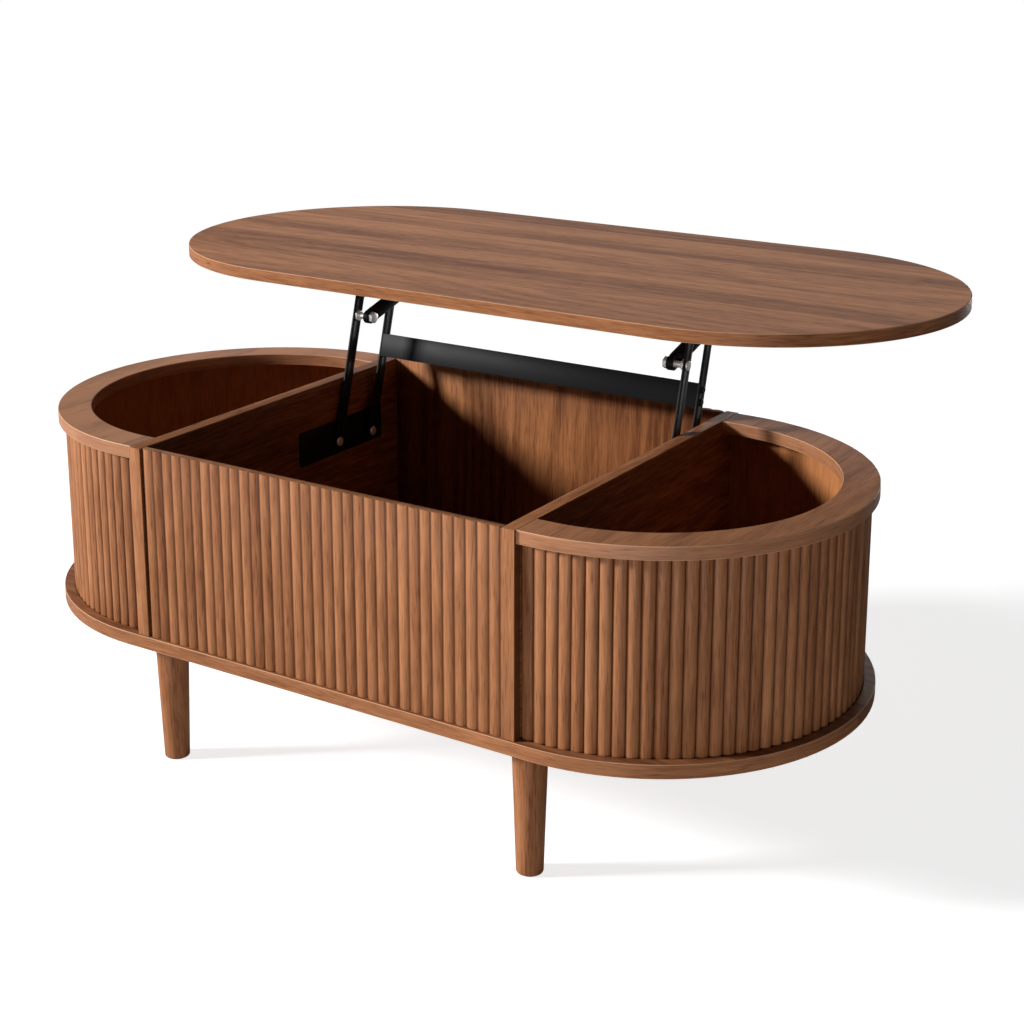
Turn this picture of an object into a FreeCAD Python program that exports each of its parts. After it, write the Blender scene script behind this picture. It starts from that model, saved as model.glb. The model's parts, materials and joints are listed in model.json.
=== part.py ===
"""Lift-top coffee table: a rounded walnut cabinet whose top rises and moves back on folding arms."""
import FreeCAD, Part
import math
import os

from FreeCAD import Vector

# Tabletop and the boards under it
TOP_LENGTH = 1050.0
TOP_WIDTH = 500.0
TOP_THICK = 15.0
BASE_OVERHANG = 2.0
BASE_THICK = 16.0
BOARD_EDGE_ROUND = 1.0
CABINET_HEIGHT = 227.0
PARTITION_THICK = 16.0
END_STRAIGHT = 16.0
RING_SETBACK = 3.0
RING_WIDTH = 40.0
RING_THICK = 15.0

# Fluted front and back panels
PANEL_BOARD_THICK = 7.5
PANEL_SETBACK = 1.0
PANEL_REVEAL = 2.0
PANEL_RABBET = 0.8
FLUTE_RELIEF = 2.8
FLUTE_COUNT = 34

# Curved end walls: slats on a bent backing, let into grooves
SLAT_COUNT = 55
SLAT_THICK = 5.4
SLAT_RELIEF = 2.8
SLAT_GAP = 0.3
SLAT_INSET = 7.8
BACKING_THICK = 3.0
GROOVE_DEPTH = 5.0
GROOVE_CLEARANCE = 0.8
WALL_END_GAP = 0.4
WALL_TOP_GAP = 0.4

# Legs and their mounting plates
LEG_HEIGHT = 147.0
LEG_TOP_DIA = 39.0
LEG_FOOT_DIA = 29.5
LEG_FOOT_ROUND = 2.0
LEG_BEHIND_END_CENTRE = 25.0
LEG_INSET = 45.0
PLATE_SIDE = 64.0
PLATE_THICK = 6.0
PLATE_CORNER = 5.0
PLATE_HOLE_OFFSET = 23.0
HANGER_BOLT_DIA = 8.0
HANGER_IN_LEG = 40.0
HANGER_IN_BASE = 8.0

# Folding arms
ARM_LENGTH = 200.0
ARM_WIDTH = 16.0
ARM_THICK = 2.5
OPEN_LEAN = 15.6
ARM_SWING = 91.8
PIVOT_SPACING = 63.0
REAR_PIVOT_INSET = 81.0
PIVOT_DROP = 34.0
PIVOT_DIA = 8.0
PIVOT_CLEARANCE = 0.05
RIVET_HEAD_DIA = 12.0
RIVET_HEAD_HEIGHT = 2.0
WASHER_DIA = 15.0
WASHER_THICK = 0.5
CLOSED_GAP = 0.4
CROSSBAR_WIDTH = 30.0
CROSSBAR_THICK = 2.5
CROSSBAR_ALONG_ARM = 114.0
CROSSBAR_TAB = 15.0
CROSSBAR_RIVET_DIA = 5.0
CROSSBAR_RIVET_HEAD = 1.4

# Brackets on the partitions and under the top
BRACKET_THICK = 2.5
BRACKET_FRONT_REACH = 75.0
BRACKET_REAR_REACH = 31.0
BRACKET_ABOVE_PIVOT = 28.0
BRACKET_BELOW_PIVOT = 16.5
BRACKET_CORNER = 3.0
TOP_BRACKET_WEB = 24.0
TOP_BRACKET_FLANGE = 26.0
TOP_BRACKET_END = 14.0
TOP_BRACKET_LUG = 12.0

# Lift-assist struts
STRUT_LENGTH = 180.0
STRUT_RISE = 16.0
STRUT_BOLT_BELOW_PIVOT = 35.0
STRUT_BOLT_DIA = 8.0
STRUT_BOLT_HEAD = 13.0
STRUT_BOLT_HEAD_HEIGHT = 5.3
STRUT_NUT_HEIGHT = 3.4
STRUT_AXIS_INSET = 23.5
STRUT_TUBE_DIA = 18.0
STRUT_TUBE_WALL = 1.5
STRUT_TUBE_START = 10.0
STRUT_TUBE_LENGTH = 92.0
STRUT_CAP = 8.0
STRUT_EYE_THICK = 8.0
STRUT_EYE_DIA = 16.8
STRUT_ROD_DIA = 8.0
STRUT_ROD_INSIDE = 24.0
STRUT_PISTON_LENGTH = 8.0
STRUT_ROD_EYE_DIA = 16.0
STRUT_PIN_GAP = 0.3
STRUT_RUNNING_FIT = 0.08

# Screws and dowels
HOLE_CLEARANCE = 0.05
BASE_SCREW_DIA = 5.0
BASE_SCREW_LENGTH = 50.0
BASE_SCREW_HEAD_DIA = 9.0
BASE_SCREW_HEAD_HEIGHT = 4.0
BASE_SCREW_INSET = 130.0
PLATE_SCREW_DIA = 4.0
PLATE_SCREW_DEPTH = 11.0
PLATE_SCREW_HEAD_DIA = 8.0
PLATE_SCREW_HEAD_HEIGHT = 2.5
BRACKET_SCREW_DIA = 3.5
BRACKET_SCREW_DEPTH = 12.0
BRACKET_SCREW_HEAD_DIA = 7.0
BRACKET_SCREW_HEAD_HEIGHT = 2.0
BRACKET_SCREW_MARGIN = 8.5
TOP_SCREW_DEPTH = 10.0
DOWEL_DIA = 5.0
DOWEL_LENGTH = 24.0
DOWEL_IN_PANEL = 14.0

# Finest distance at which two places count as one, and the rounding of a low screw head
TOUCH = 1e-3
HEAD_DOME = 0.7

# Heights, from the floor up
base_bottom = LEG_HEIGHT + PLATE_THICK
base_top = base_bottom + BASE_THICK
rim_top = base_top + CABINET_HEIGHT
ring_bottom = rim_top - RING_THICK

# Outlines: every board shares the top's two end centres
end_radius = TOP_WIDTH / 2
end_centre_x = TOP_LENGTH / 2 - end_radius
base_radius = end_radius + BASE_OVERHANG
ring_radius = end_radius - RING_SETBACK
crest_radius = ring_radius - SLAT_INSET
slat_back_radius = crest_radius - SLAT_THICK
backing_radius = slat_back_radius - BACKING_THICK
partition_outer_x = end_centre_x - END_STRAIGHT
partition_inner_x = partition_outer_x - PARTITION_THICK
leg_x = end_centre_x - LEG_BEHIND_END_CENTRE
leg_y = end_radius - LEG_INSET

# Lift geometry in the side plane, with y to the back and z up
open_lean = math.radians(OPEN_LEAN)
closed_lean = math.radians(ARM_SWING - OPEN_LEAN)
top_travel = ARM_LENGTH * (math.sin(open_lean) + math.sin(closed_lean))
top_lift = ARM_LENGTH * (math.cos(open_lean) - math.cos(closed_lean))
top_bottom = rim_top + CLOSED_GAP + top_lift
arm_y = math.sin(open_lean)
arm_z = math.cos(open_lean)
upper_z = top_bottom - PIVOT_DROP
lower_z = upper_z - ARM_LENGTH * arm_z
rear_lower = (end_radius - REAR_PIVOT_INSET, lower_z)
front_lower = (rear_lower[0] - PIVOT_SPACING, lower_z)


def along_arm(pivot, distance):
    """Point on an arm at a distance from its lower pivot."""
    return (pivot[0] + distance * arm_y, pivot[1] + distance * arm_z)


front_upper = along_arm(front_lower, ARM_LENGTH)
rear_upper = along_arm(rear_lower, ARM_LENGTH)
strut_bolt = along_arm(front_lower, ARM_LENGTH - STRUT_BOLT_BELOW_PIVOT)
strut_y = math.cos(math.radians(STRUT_RISE))
strut_z = math.sin(math.radians(STRUT_RISE))


def along_strut(distance):
    """Point on the strut's axis at a distance from its bolt."""
    return (strut_bolt[0] + distance * strut_y, strut_bolt[1] + distance * strut_z)


strut_anchor = along_strut(STRUT_LENGTH)

# Layers of the right lift mechanism, from the partition's inner face towards the middle
bracket_face = partition_inner_x - BRACKET_THICK
front_arm_outer = bracket_face - WASHER_THICK
front_arm_inner = front_arm_outer - ARM_THICK
flange_outer = front_arm_inner - WASHER_THICK
flange_inner = flange_outer - BRACKET_THICK
rear_arm_outer = flange_inner - WASHER_THICK
rear_arm_inner = rear_arm_outer - ARM_THICK
strut_axis_x = partition_inner_x - STRUT_AXIS_INSET
strut_eye_outer = strut_axis_x + STRUT_EYE_THICK / 2
strut_eye_inner = strut_axis_x - STRUT_EYE_THICK / 2

# The origin stands on the floor under the middle of the raised table
origin_y = (end_radius + top_travel - base_radius) / 2


def box(x0, x1, y0, y1, z0, z1):
    return Part.makeBox(x1 - x0, y1 - y0, z1 - z0, Vector(x0, y0, z0))


def cylinder_x(x0, x1, centre, radius):
    """Cylinder along X between two x values, centred on a point of the side plane."""
    low, high = min(x0, x1), max(x0, x1)
    return Part.makeCylinder(radius, high - low, Vector(low, centre[0], centre[1]), Vector(1, 0, 0))


def cylinder_z(x, y, z0, z1, radius):
    return Part.makeCylinder(radius, z1 - z0, Vector(x, y, z0))


def face_of(edges):
    return Part.Face(Part.Wire(edges))


def closed_edges(points):
    """Straight edges through the points and back to the first."""
    pairs = zip(points, points[1:] + points[:1])
    return [Part.makeLine(a, b) for a, b in pairs]


def stadium(radius, z0, z1):
    """Board with straight long sides and half-round ends about the shared end centres."""
    c = end_centre_x
    edges = [
        Part.makeLine(Vector(-c, -radius, z0), Vector(c, -radius, z0)),
        Part.Arc(Vector(c, -radius, z0), Vector(c + radius, 0, z0), Vector(c, radius, z0)).toShape(),
        Part.makeLine(Vector(c, radius, z0), Vector(-c, radius, z0)),
        Part.Arc(Vector(-c, radius, z0), Vector(-c - radius, 0, z0), Vector(-c, -radius, z0)).toShape(),
    ]
    return face_of(edges).extrude(Vector(0, 0, z1 - z0))


def end_band(outer, inner, start_x, z0, z1):
    """Right-hand U-shaped band between two radii, from start_x round the end and back."""
    c = end_centre_x
    edges = [
        Part.makeLine(Vector(start_x, -outer, z0), Vector(c, -outer, z0)),
        Part.Arc(Vector(c, -outer, z0), Vector(c + outer, 0, z0), Vector(c, outer, z0)).toShape(),
        Part.makeLine(Vector(c, outer, z0), Vector(start_x, outer, z0)),
        Part.makeLine(Vector(start_x, outer, z0), Vector(start_x, inner, z0)),
        Part.makeLine(Vector(start_x, inner, z0), Vector(c, inner, z0)),
        Part.Arc(Vector(c, inner, z0), Vector(c + inner, 0, z0), Vector(c, -inner, z0)).toShape(),
        Part.makeLine(Vector(c, -inner, z0), Vector(start_x, -inner, z0)),
        Part.makeLine(Vector(start_x, -inner, z0), Vector(start_x, -outer, z0)),
    ]
    return face_of(edges).extrude(Vector(0, 0, z1 - z0))


def level_edges(shape, z):
    """Edges of a shape that lie flat at one height."""
    return [e for e in shape.Edges
            if abs(e.BoundBox.ZMin - z) < TOUCH and abs(e.BoundBox.ZMax - z) < TOUCH]


def rounded_board(shape, z0, z1):
    return shape.makeFillet(BOARD_EDGE_ROUND, level_edges(shape, z0) + level_edges(shape, z1))


def link_plate(x0, x1, start, end, radius):
    """Flat bar in the side plane with round ends on two points."""
    length = math.hypot(end[0] - start[0], end[1] - start[1])
    dy = (end[0] - start[0]) / length * radius
    dz = (end[1] - start[1]) / length * radius

    def at(point, along, across):
        return Vector(x0, point[0] + along * dy - across * dz, point[1] + along * dz + across * dy)

    edges = [
        Part.makeLine(at(start, 0, 1), at(end, 0, 1)),
        Part.Arc(at(end, 0, 1), at(end, 1, 0), at(end, 0, -1)).toShape(),
        Part.makeLine(at(end, 0, -1), at(start, 0, -1)),
        Part.Arc(at(start, 0, -1), at(start, -1, 0), at(start, 0, 1)).toShape(),
    ]
    return face_of(edges).extrude(Vector(x1 - x0, 0, 0))


def hexagon_x(x0, x1, centre, across_flats):
    radius = across_flats / math.sqrt(3)
    points = []
    for i in range(6):
        angle = math.radians(60 * i + 30)
        points.append(Vector(x0, centre[0] + radius * math.cos(angle), centre[1] + radius * math.sin(angle)))
    return face_of(closed_edges(points)).extrude(Vector(x1 - x0, 0, 0))


def pan_head_x(face_x, direction, centre, diameter, height):
    """Low domed head standing on a face that looks along X."""
    tip_x = face_x + direction * height
    head = cylinder_x(face_x, tip_x, centre, diameter / 2)
    rim = [e for e in head.Edges
           if abs(e.BoundBox.XMin - tip_x) < TOUCH and abs(e.BoundBox.XMax - tip_x) < TOUCH]
    return head.makeFillet(height * HEAD_DOME, rim)


def mirrored(shape):
    return shape.mirror(Vector(0, 0, 0), Vector(1, 0, 0))


def both_sides(solids):
    """A right-hand list of solids with its left-hand twins, as one group."""
    return Part.makeCompound(list(solids) + [mirrored(s) for s in solids])


def drilled(shape, cuts):
    return shape.cut(Part.makeCompound(cuts)) if cuts else shape


def pivot_hole(point, x0, x1, diameter=PIVOT_DIA):
    return cylinder_x(x0, x1, point, diameter / 2 + PIVOT_CLEARANCE)


# Wood screws and dowels come first, because the boards are drilled for them

def screw_z(x, y, head_z, depth, diameter, head_diameter, head_height):
    """Countersunk wood screw driven upwards, its flat head level with head_z."""
    head = Part.makeCone(head_diameter / 2, diameter / 2, head_height, Vector(x, y, head_z))
    return head.fuse(cylinder_z(x, y, head_z, head_z + depth, diameter / 2))


def screw_hole_z(x, y, head_z, depth, diameter, head_diameter, head_height):
    gap = HOLE_CLEARANCE
    return screw_z(x, y, head_z - gap, depth + 2 * gap, diameter + 2 * gap, head_diameter + 4 * gap,
                   head_height + gap)


partition_mid_x = partition_outer_x - PARTITION_THICK / 2
base_screw_y = end_radius - BASE_SCREW_INSET
base_screw_places = [(side * partition_mid_x, y)
                     for side in (1, -1)
                     for y in (-base_screw_y, 0.0, base_screw_y)]
base_screw_sizes = (base_bottom, BASE_SCREW_LENGTH, BASE_SCREW_DIA, BASE_SCREW_HEAD_DIA,
                    BASE_SCREW_HEAD_HEIGHT)
base_screws = [screw_z(x, y, *base_screw_sizes) for x, y in base_screw_places]
base_screw_holes = [screw_hole_z(x, y, *base_screw_sizes) for x, y in base_screw_places]

leg_places = {
    "front_right": (leg_x, -leg_y),
    "front_left": (-leg_x, -leg_y),
    "back_right": (leg_x, leg_y),
    "back_left": (-leg_x, leg_y),
}
plate_screw_places = [(x + i * PLATE_HOLE_OFFSET, y + j * PLATE_HOLE_OFFSET)
                      for x, y in leg_places.values() for i in (1, -1) for j in (1, -1)]
plate_screw_sizes = (LEG_HEIGHT, PLATE_THICK + PLATE_SCREW_DEPTH, PLATE_SCREW_DIA,
                     PLATE_SCREW_HEAD_DIA, PLATE_SCREW_HEAD_HEIGHT)
plate_screws = [screw_z(x, y, *plate_screw_sizes) for x, y in plate_screw_places]
plate_screw_holes = [screw_hole_z(x, y, *plate_screw_sizes) for x, y in plate_screw_places]

hanger_bottom = LEG_HEIGHT - HANGER_IN_LEG
hanger_top = base_bottom + HANGER_IN_BASE
hanger_bolts = [cylinder_z(x, y, hanger_bottom, hanger_top, HANGER_BOLT_DIA / 2)
                for x, y in leg_places.values()]
hanger_holes = [cylinder_z(x, y, hanger_bottom - HOLE_CLEARANCE, hanger_top + HOLE_CLEARANCE,
                           HANGER_BOLT_DIA / 2 + HOLE_CLEARANCE)
                for x, y in leg_places.values()]

panel_crest_y = end_radius - PANEL_SETBACK
panel_board_y = panel_crest_y - FLUTE_RELIEF
panel_inner_y = panel_board_y - PANEL_BOARD_THICK
panel_mid_y = (panel_board_y + panel_inner_y) / 2
panel_half = partition_inner_x - PANEL_REVEAL


def dowel_x(x0, x1, centre, extra=0.0):
    return cylinder_x(x0 - extra, x1 + extra, centre, DOWEL_DIA / 2 + extra)


panel_dowel_heights = [base_top + CABINET_HEIGHT * share for share in (0.2, 0.8)]
panel_dowel_ends = (panel_half - DOWEL_IN_PANEL, panel_half - DOWEL_IN_PANEL + DOWEL_LENGTH)
panel_dowel_centres = [(y, z) for y in (-panel_mid_y, panel_mid_y) for z in panel_dowel_heights]
panel_dowels = [dowel_x(*panel_dowel_ends, c) for c in panel_dowel_centres]
panel_dowel_holes = [dowel_x(*panel_dowel_ends, c, HOLE_CLEARANCE) for c in panel_dowel_centres]

ring_inner_radius = ring_radius - RING_WIDTH
groove_inner_radius = backing_radius - GROOVE_CLEARANCE
groove_outer_radius = crest_radius + GROOVE_CLEARANCE
ring_dowel_y = (ring_inner_radius + groove_inner_radius) / 2
ring_dowel_ends = (partition_outer_x - DOWEL_LENGTH / 2, partition_outer_x + DOWEL_LENGTH / 2)
ring_dowel_centres = [(y, (ring_bottom + rim_top) / 2) for y in (-ring_dowel_y, ring_dowel_y)]
ring_dowels = [dowel_x(*ring_dowel_ends, c) for c in ring_dowel_centres]
ring_dowel_holes = [dowel_x(*ring_dowel_ends, c, HOLE_CLEARANCE) for c in ring_dowel_centres]

bracket_front_y = front_lower[0] - BRACKET_FRONT_REACH
bracket_rear_y = rear_lower[0] + BRACKET_REAR_REACH
bracket_bottom = lower_z - BRACKET_BELOW_PIVOT
bracket_height_top = lower_z + BRACKET_ABOVE_PIVOT
bracket_screw_low = bracket_bottom + BRACKET_SCREW_MARGIN
bracket_screw_high = bracket_height_top - BRACKET_SCREW_MARGIN
between_pivots_y = (front_lower[0] + rear_lower[0]) / 2
bracket_screw_centres = [
    (bracket_front_y + BRACKET_SCREW_MARGIN, bracket_screw_low),
    ((bracket_front_y + front_lower[0]) / 2, bracket_screw_low),
    (between_pivots_y, bracket_screw_low),
    (between_pivots_y, bracket_screw_high),
    (bracket_rear_y - BRACKET_SCREW_MARGIN, bracket_screw_low),
    (bracket_rear_y - BRACKET_SCREW_MARGIN, bracket_screw_high),
]


def bracket_screw(centre):
    shank = cylinder_x(bracket_face, partition_inner_x + BRACKET_SCREW_DEPTH, centre, BRACKET_SCREW_DIA / 2)
    head = pan_head_x(bracket_face, -1, centre, BRACKET_SCREW_HEAD_DIA, BRACKET_SCREW_HEAD_HEIGHT)
    return shank.fuse(head)


bracket_screws = [bracket_screw(c) for c in bracket_screw_centres]
bracket_screw_holes = [cylinder_x(bracket_face - HOLE_CLEARANCE,
                                  partition_inner_x + BRACKET_SCREW_DEPTH + HOLE_CLEARANCE,
                                  c, BRACKET_SCREW_DIA / 2 + HOLE_CLEARANCE)
                       for c in bracket_screw_centres]

bracket_web_front = front_upper[0] - TOP_BRACKET_END
bracket_web_rear = strut_anchor[0] + TOP_BRACKET_END
flange_middle_x = flange_inner - (TOP_BRACKET_FLANGE - BRACKET_THICK) / 2
top_screw_places = [(flange_middle_x, bracket_web_front + (bracket_web_rear - bracket_web_front) * share)
                    for share in (0.08, 0.36, 0.64, 0.92)]
top_flange_bottom = top_bottom - BRACKET_THICK


def top_screw(x, y, extra=0.0):
    """Pan-head screw up through the flange into the top; extra widens it into its hole."""
    shank = cylinder_z(x, y, top_flange_bottom, top_bottom + TOP_SCREW_DEPTH + extra,
                       BRACKET_SCREW_DIA / 2 + extra)
    if extra:
        return shank
    head = cylinder_z(x, y, top_flange_bottom - BRACKET_SCREW_HEAD_HEIGHT, top_flange_bottom,
                      BRACKET_SCREW_HEAD_DIA / 2)
    rim = level_edges(head, top_flange_bottom - BRACKET_SCREW_HEAD_HEIGHT)
    return shank.fuse(head.makeFillet(BRACKET_SCREW_HEAD_HEIGHT / 2, rim))


top_screws = [top_screw(x, y) for x, y in top_screw_places]
top_screw_holes = [top_screw(x, y, HOLE_CLEARANCE) for x, y in top_screw_places]

# Cabinet boards


def base_board():
    board = rounded_board(stadium(base_radius, base_bottom, base_top), base_bottom, base_top)
    groove = end_band(groove_outer_radius, groove_inner_radius, partition_outer_x,
                      base_top - GROOVE_DEPTH, base_top + GROOVE_DEPTH)
    cuts = [groove, mirrored(groove)] + base_screw_holes + plate_screw_holes + hanger_holes
    return drilled(board, cuts)


def partition():
    """Upright board on the right, between the middle and the end compartment."""
    board = box(partition_inner_x, partition_outer_x, -end_radius, end_radius, base_top, rim_top)
    return drilled(board, base_screw_holes + panel_dowel_holes + ring_dowel_holes + bracket_screw_holes)


def fluted_panel():
    """Front panel: a row of round flutes outside, a flat board inside that meets both partitions.

    The flutes stop short of the partitions, and a small rabbet makes a shadow groove there.
    """
    pitch = 2 * panel_half / FLUTE_COUNT
    edges = []
    for i in range(FLUTE_COUNT):
        x = -panel_half + i * pitch
        valley_a = Vector(x, -panel_board_y, base_top)
        crest = Vector(x + pitch / 2, -panel_crest_y, base_top)
        valley_b = Vector(x + pitch, -panel_board_y, base_top)
        edges.append(Part.Arc(valley_a, crest, valley_b).toShape())
    rabbet_y = panel_board_y - PANEL_RABBET
    corners = [
        Vector(panel_half, -panel_board_y, base_top),
        Vector(panel_half, -rabbet_y, base_top),
        Vector(partition_inner_x, -rabbet_y, base_top),
        Vector(partition_inner_x, -panel_inner_y, base_top),
        Vector(-partition_inner_x, -panel_inner_y, base_top),
        Vector(-partition_inner_x, -rabbet_y, base_top),
        Vector(-panel_half, -rabbet_y, base_top),
        Vector(-panel_half, -panel_board_y, base_top),
    ]
    edges += [Part.makeLine(a, b) for a, b in zip(corners, corners[1:])]
    panel = face_of(edges).extrude(Vector(0, 0, CABINET_HEIGHT))
    return drilled(panel, panel_dowel_holes + [mirrored(h) for h in panel_dowel_holes])


def end_ring():
    """Right-hand rim over the end wall, grooved underneath for it."""
    ring = end_band(ring_radius, ring_inner_radius, partition_outer_x, ring_bottom, rim_top)
    ring = rounded_board(ring, ring_bottom, rim_top)
    groove = end_band(groove_outer_radius, groove_inner_radius, partition_outer_x,
                      ring_bottom - GROOVE_DEPTH, ring_bottom + GROOVE_DEPTH)
    return drilled(ring, [groove] + ring_dowel_holes)


wall_bottom = base_top - GROOVE_DEPTH
wall_top = ring_bottom + GROOVE_DEPTH - WALL_TOP_GAP
wall_start_x = partition_outer_x + WALL_END_GAP


def end_backing():
    return end_band(slat_back_radius, backing_radius, wall_start_x, wall_bottom, wall_top)


def slat(width):
    """One upright slat, flat behind and rounded in front, standing at the origin."""
    shoulder = SLAT_THICK - SLAT_RELIEF
    half = width / 2
    points = [
        Vector(half, -shoulder, wall_bottom),
        Vector(half, 0, wall_bottom),
        Vector(-half, 0, wall_bottom),
        Vector(-half, -shoulder, wall_bottom),
    ]
    edges = [Part.makeLine(a, b) for a, b in zip(points, points[1:])]
    edges.append(Part.Arc(points[3], Vector(0, -SLAT_THICK, wall_bottom), points[0]).toShape())
    return face_of(edges).extrude(Vector(0, 0, wall_top - wall_bottom))


def end_slats():
    """Slats side by side along the backing: straight, round the end, and straight again."""
    straight = end_centre_x - wall_start_x
    run = 2 * straight + math.pi * slat_back_radius
    pitch = run / SLAT_COUNT
    model = slat(pitch - SLAT_GAP)
    slats = []
    for i in range(SLAT_COUNT):
        s = (i + 0.5) * pitch
        turn = min(max((s - straight) / slat_back_radius, 0.0), math.pi)
        before = min(s, straight)
        after = max(s - straight - math.pi * slat_back_radius, 0.0)
        piece = model.copy()
        piece.rotate(Vector(0, 0, 0), Vector(0, 0, 1), math.degrees(turn))
        piece.translate(Vector(wall_start_x + before - after + slat_back_radius * math.sin(turn),
                               -slat_back_radius * math.cos(turn), 0))
        slats.append(piece)
    return Part.makeCompound(slats)


# Legs


def leg(x, y):
    """Turned, tapered leg with a softened foot and a hole for its hanger bolt."""
    foot = LEG_FOOT_DIA / 2
    top = LEG_TOP_DIA / 2
    profile = closed_edges([Vector(0, 0, 0), Vector(foot, 0, 0), Vector(top, 0, LEG_HEIGHT),
                            Vector(0, 0, LEG_HEIGHT)])
    body = face_of(profile).revolve(Vector(0, 0, 0), Vector(0, 0, 1), 360)
    body = body.makeFillet(LEG_FOOT_ROUND, level_edges(body, 0.0))
    body.translate(Vector(x, y, 0))
    return drilled(body, hanger_holes)


def leg_plate(x, y):
    half = PLATE_SIDE / 2
    plate = box(x - half, x + half, y - half, y + half, LEG_HEIGHT, base_bottom)
    upright = [e for e in plate.Edges if e.BoundBox.ZLength > PLATE_THICK / 2]
    plate = plate.makeFillet(PLATE_CORNER, upright)
    return drilled(plate, plate_screw_holes + hanger_holes)


# Lift mechanism, right-hand side

def base_bracket():
    plate = box(bracket_face, partition_inner_x, bracket_front_y, bracket_rear_y, bracket_bottom,
                bracket_height_top)
    corners = [e for e in plate.Edges if e.BoundBox.XLength > BRACKET_THICK / 2]
    plate = plate.makeFillet(BRACKET_CORNER, corners)
    holes = [pivot_hole(p, bracket_face, partition_inner_x) for p in (front_lower, rear_lower)]
    return drilled(plate, holes + bracket_screw_holes)


def front_arm():
    arm = link_plate(front_arm_inner, front_arm_outer, front_lower, front_upper, ARM_WIDTH / 2)
    holes = [pivot_hole(p, front_arm_inner, front_arm_outer) for p in (front_lower, front_upper)]
    holes.append(pivot_hole(strut_bolt, front_arm_inner, front_arm_outer, STRUT_BOLT_DIA))
    return drilled(arm, holes)


crossbar_centre = along_arm(rear_lower, CROSSBAR_ALONG_ARM)
crossbar_rivet_offset = CROSSBAR_WIDTH / 4
crossbar_rivet_back = CROSSBAR_TAB / 2 - ARM_WIDTH / 2 + CROSSBAR_THICK


def on_rear_arm(along, back):
    """Point near the crossbar, measured along the arm and towards its back edge."""
    return (crossbar_centre[0] + along * arm_y + back * arm_z,
            crossbar_centre[1] + along * arm_z - back * arm_y)


crossbar_rivet_centres = [on_rear_arm(sign * crossbar_rivet_offset, crossbar_rivet_back)
                          for sign in (1, -1)]
crossbar_tab_face = rear_arm_inner - CROSSBAR_THICK


def crossbar_rivet_holes(x0, x1):
    return [pivot_hole(c, x0, x1, CROSSBAR_RIVET_DIA) for c in crossbar_rivet_centres]


def rear_arm():
    arm = link_plate(rear_arm_inner, rear_arm_outer, rear_lower, rear_upper, ARM_WIDTH / 2)
    holes = [pivot_hole(p, rear_arm_inner, rear_arm_outer) for p in (rear_lower, rear_upper)]
    return drilled(arm, holes + crossbar_rivet_holes(rear_arm_inner, rear_arm_outer))


def crossbar():
    """Flat bar between the rear arms, level with their front edges, its ends bent back as tabs."""
    half = CROSSBAR_WIDTH / 2
    front = -ARM_WIDTH / 2

    def slab(x0, x1, back0, back1):
        corners = [on_rear_arm(-half, back0), on_rear_arm(half, back0),
                   on_rear_arm(half, back1), on_rear_arm(-half, back1)]
        points = [Vector(x0, y, z) for y, z in corners]
        return face_of(closed_edges(points)).extrude(Vector(x1 - x0, 0, 0))

    bar = slab(-rear_arm_inner, rear_arm_inner, front, front + CROSSBAR_THICK)
    tab = slab(crossbar_tab_face, rear_arm_inner, front, front + CROSSBAR_TAB)
    bar = bar.multiFuse([tab, mirrored(tab)]).removeSplitter()
    holes = crossbar_rivet_holes(crossbar_tab_face, rear_arm_inner)
    return drilled(bar, holes + [mirrored(h) for h in holes])


def crossbar_rivet(centre):
    shank = cylinder_x(crossbar_tab_face, rear_arm_outer, centre, CROSSBAR_RIVET_DIA / 2)
    head_dia = CROSSBAR_RIVET_DIA * 1.8
    outer = pan_head_x(rear_arm_outer, 1, centre, head_dia, CROSSBAR_RIVET_HEAD)
    inner = pan_head_x(crossbar_tab_face, -1, centre, head_dia, CROSSBAR_RIVET_HEAD)
    return shank.multiFuse([outer, inner])


def pivot_rivet(point, outer_x, inner_x, outer_head=0.0):
    """Rivet through a pivot with a domed head inside, and a low one or none outside."""
    shank = cylinder_x(inner_x, outer_x, point, PIVOT_DIA / 2)
    rivet = shank.fuse(pan_head_x(inner_x, -1, point, RIVET_HEAD_DIA, RIVET_HEAD_HEIGHT))
    if outer_head:
        rivet = rivet.fuse(pan_head_x(outer_x, 1, point, RIVET_HEAD_DIA, outer_head))
    return rivet


def washer(point, x0, x1, diameter):
    disc = cylinder_x(x0, x1, point, diameter / 2)
    return disc.cut(pivot_hole(point, x0, x1))


def top_bracket():
    """Angle under the top: a screwed flange, an upright web, and two lugs for the upper pivots."""
    web_bottom = top_bottom - TOP_BRACKET_WEB
    flange = box(flange_outer - TOP_BRACKET_FLANGE, flange_outer, bracket_web_front, bracket_web_rear,
                 top_flange_bottom, top_bottom)
    web = box(flange_inner, flange_outer, bracket_web_front, bracket_web_rear, web_bottom, top_bottom)
    lugs = []
    for pivot in (front_upper, rear_upper):
        lug_top = (pivot[0], top_flange_bottom - TOP_BRACKET_LUG)
        lugs.append(link_plate(flange_inner, flange_outer, pivot, lug_top, TOP_BRACKET_LUG))
    bracket = flange.multiFuse([web] + lugs).removeSplitter()
    holes = [pivot_hole(p, flange_inner, flange_outer) for p in (front_upper, rear_upper)]
    return drilled(bracket, holes + top_screw_holes)


# Struts, right-hand side


def strut_cylinder(start, end, radius):
    """Cylinder on the strut's axis between two distances from its bolt."""
    y, z = along_strut(start)
    return Part.makeCylinder(radius, end - start, Vector(strut_axis_x, y, z), Vector(0, strut_y, strut_z))


strut_tube_end = STRUT_TUBE_START + STRUT_TUBE_LENGTH
strut_bore = STRUT_TUBE_DIA / 2 - STRUT_TUBE_WALL
strut_piston_start = strut_tube_end - STRUT_CAP - STRUT_ROD_INSIDE
strut_rod_radius = STRUT_ROD_DIA / 2
strut_rod_eye_radius = STRUT_ROD_EYE_DIA / 2


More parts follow.
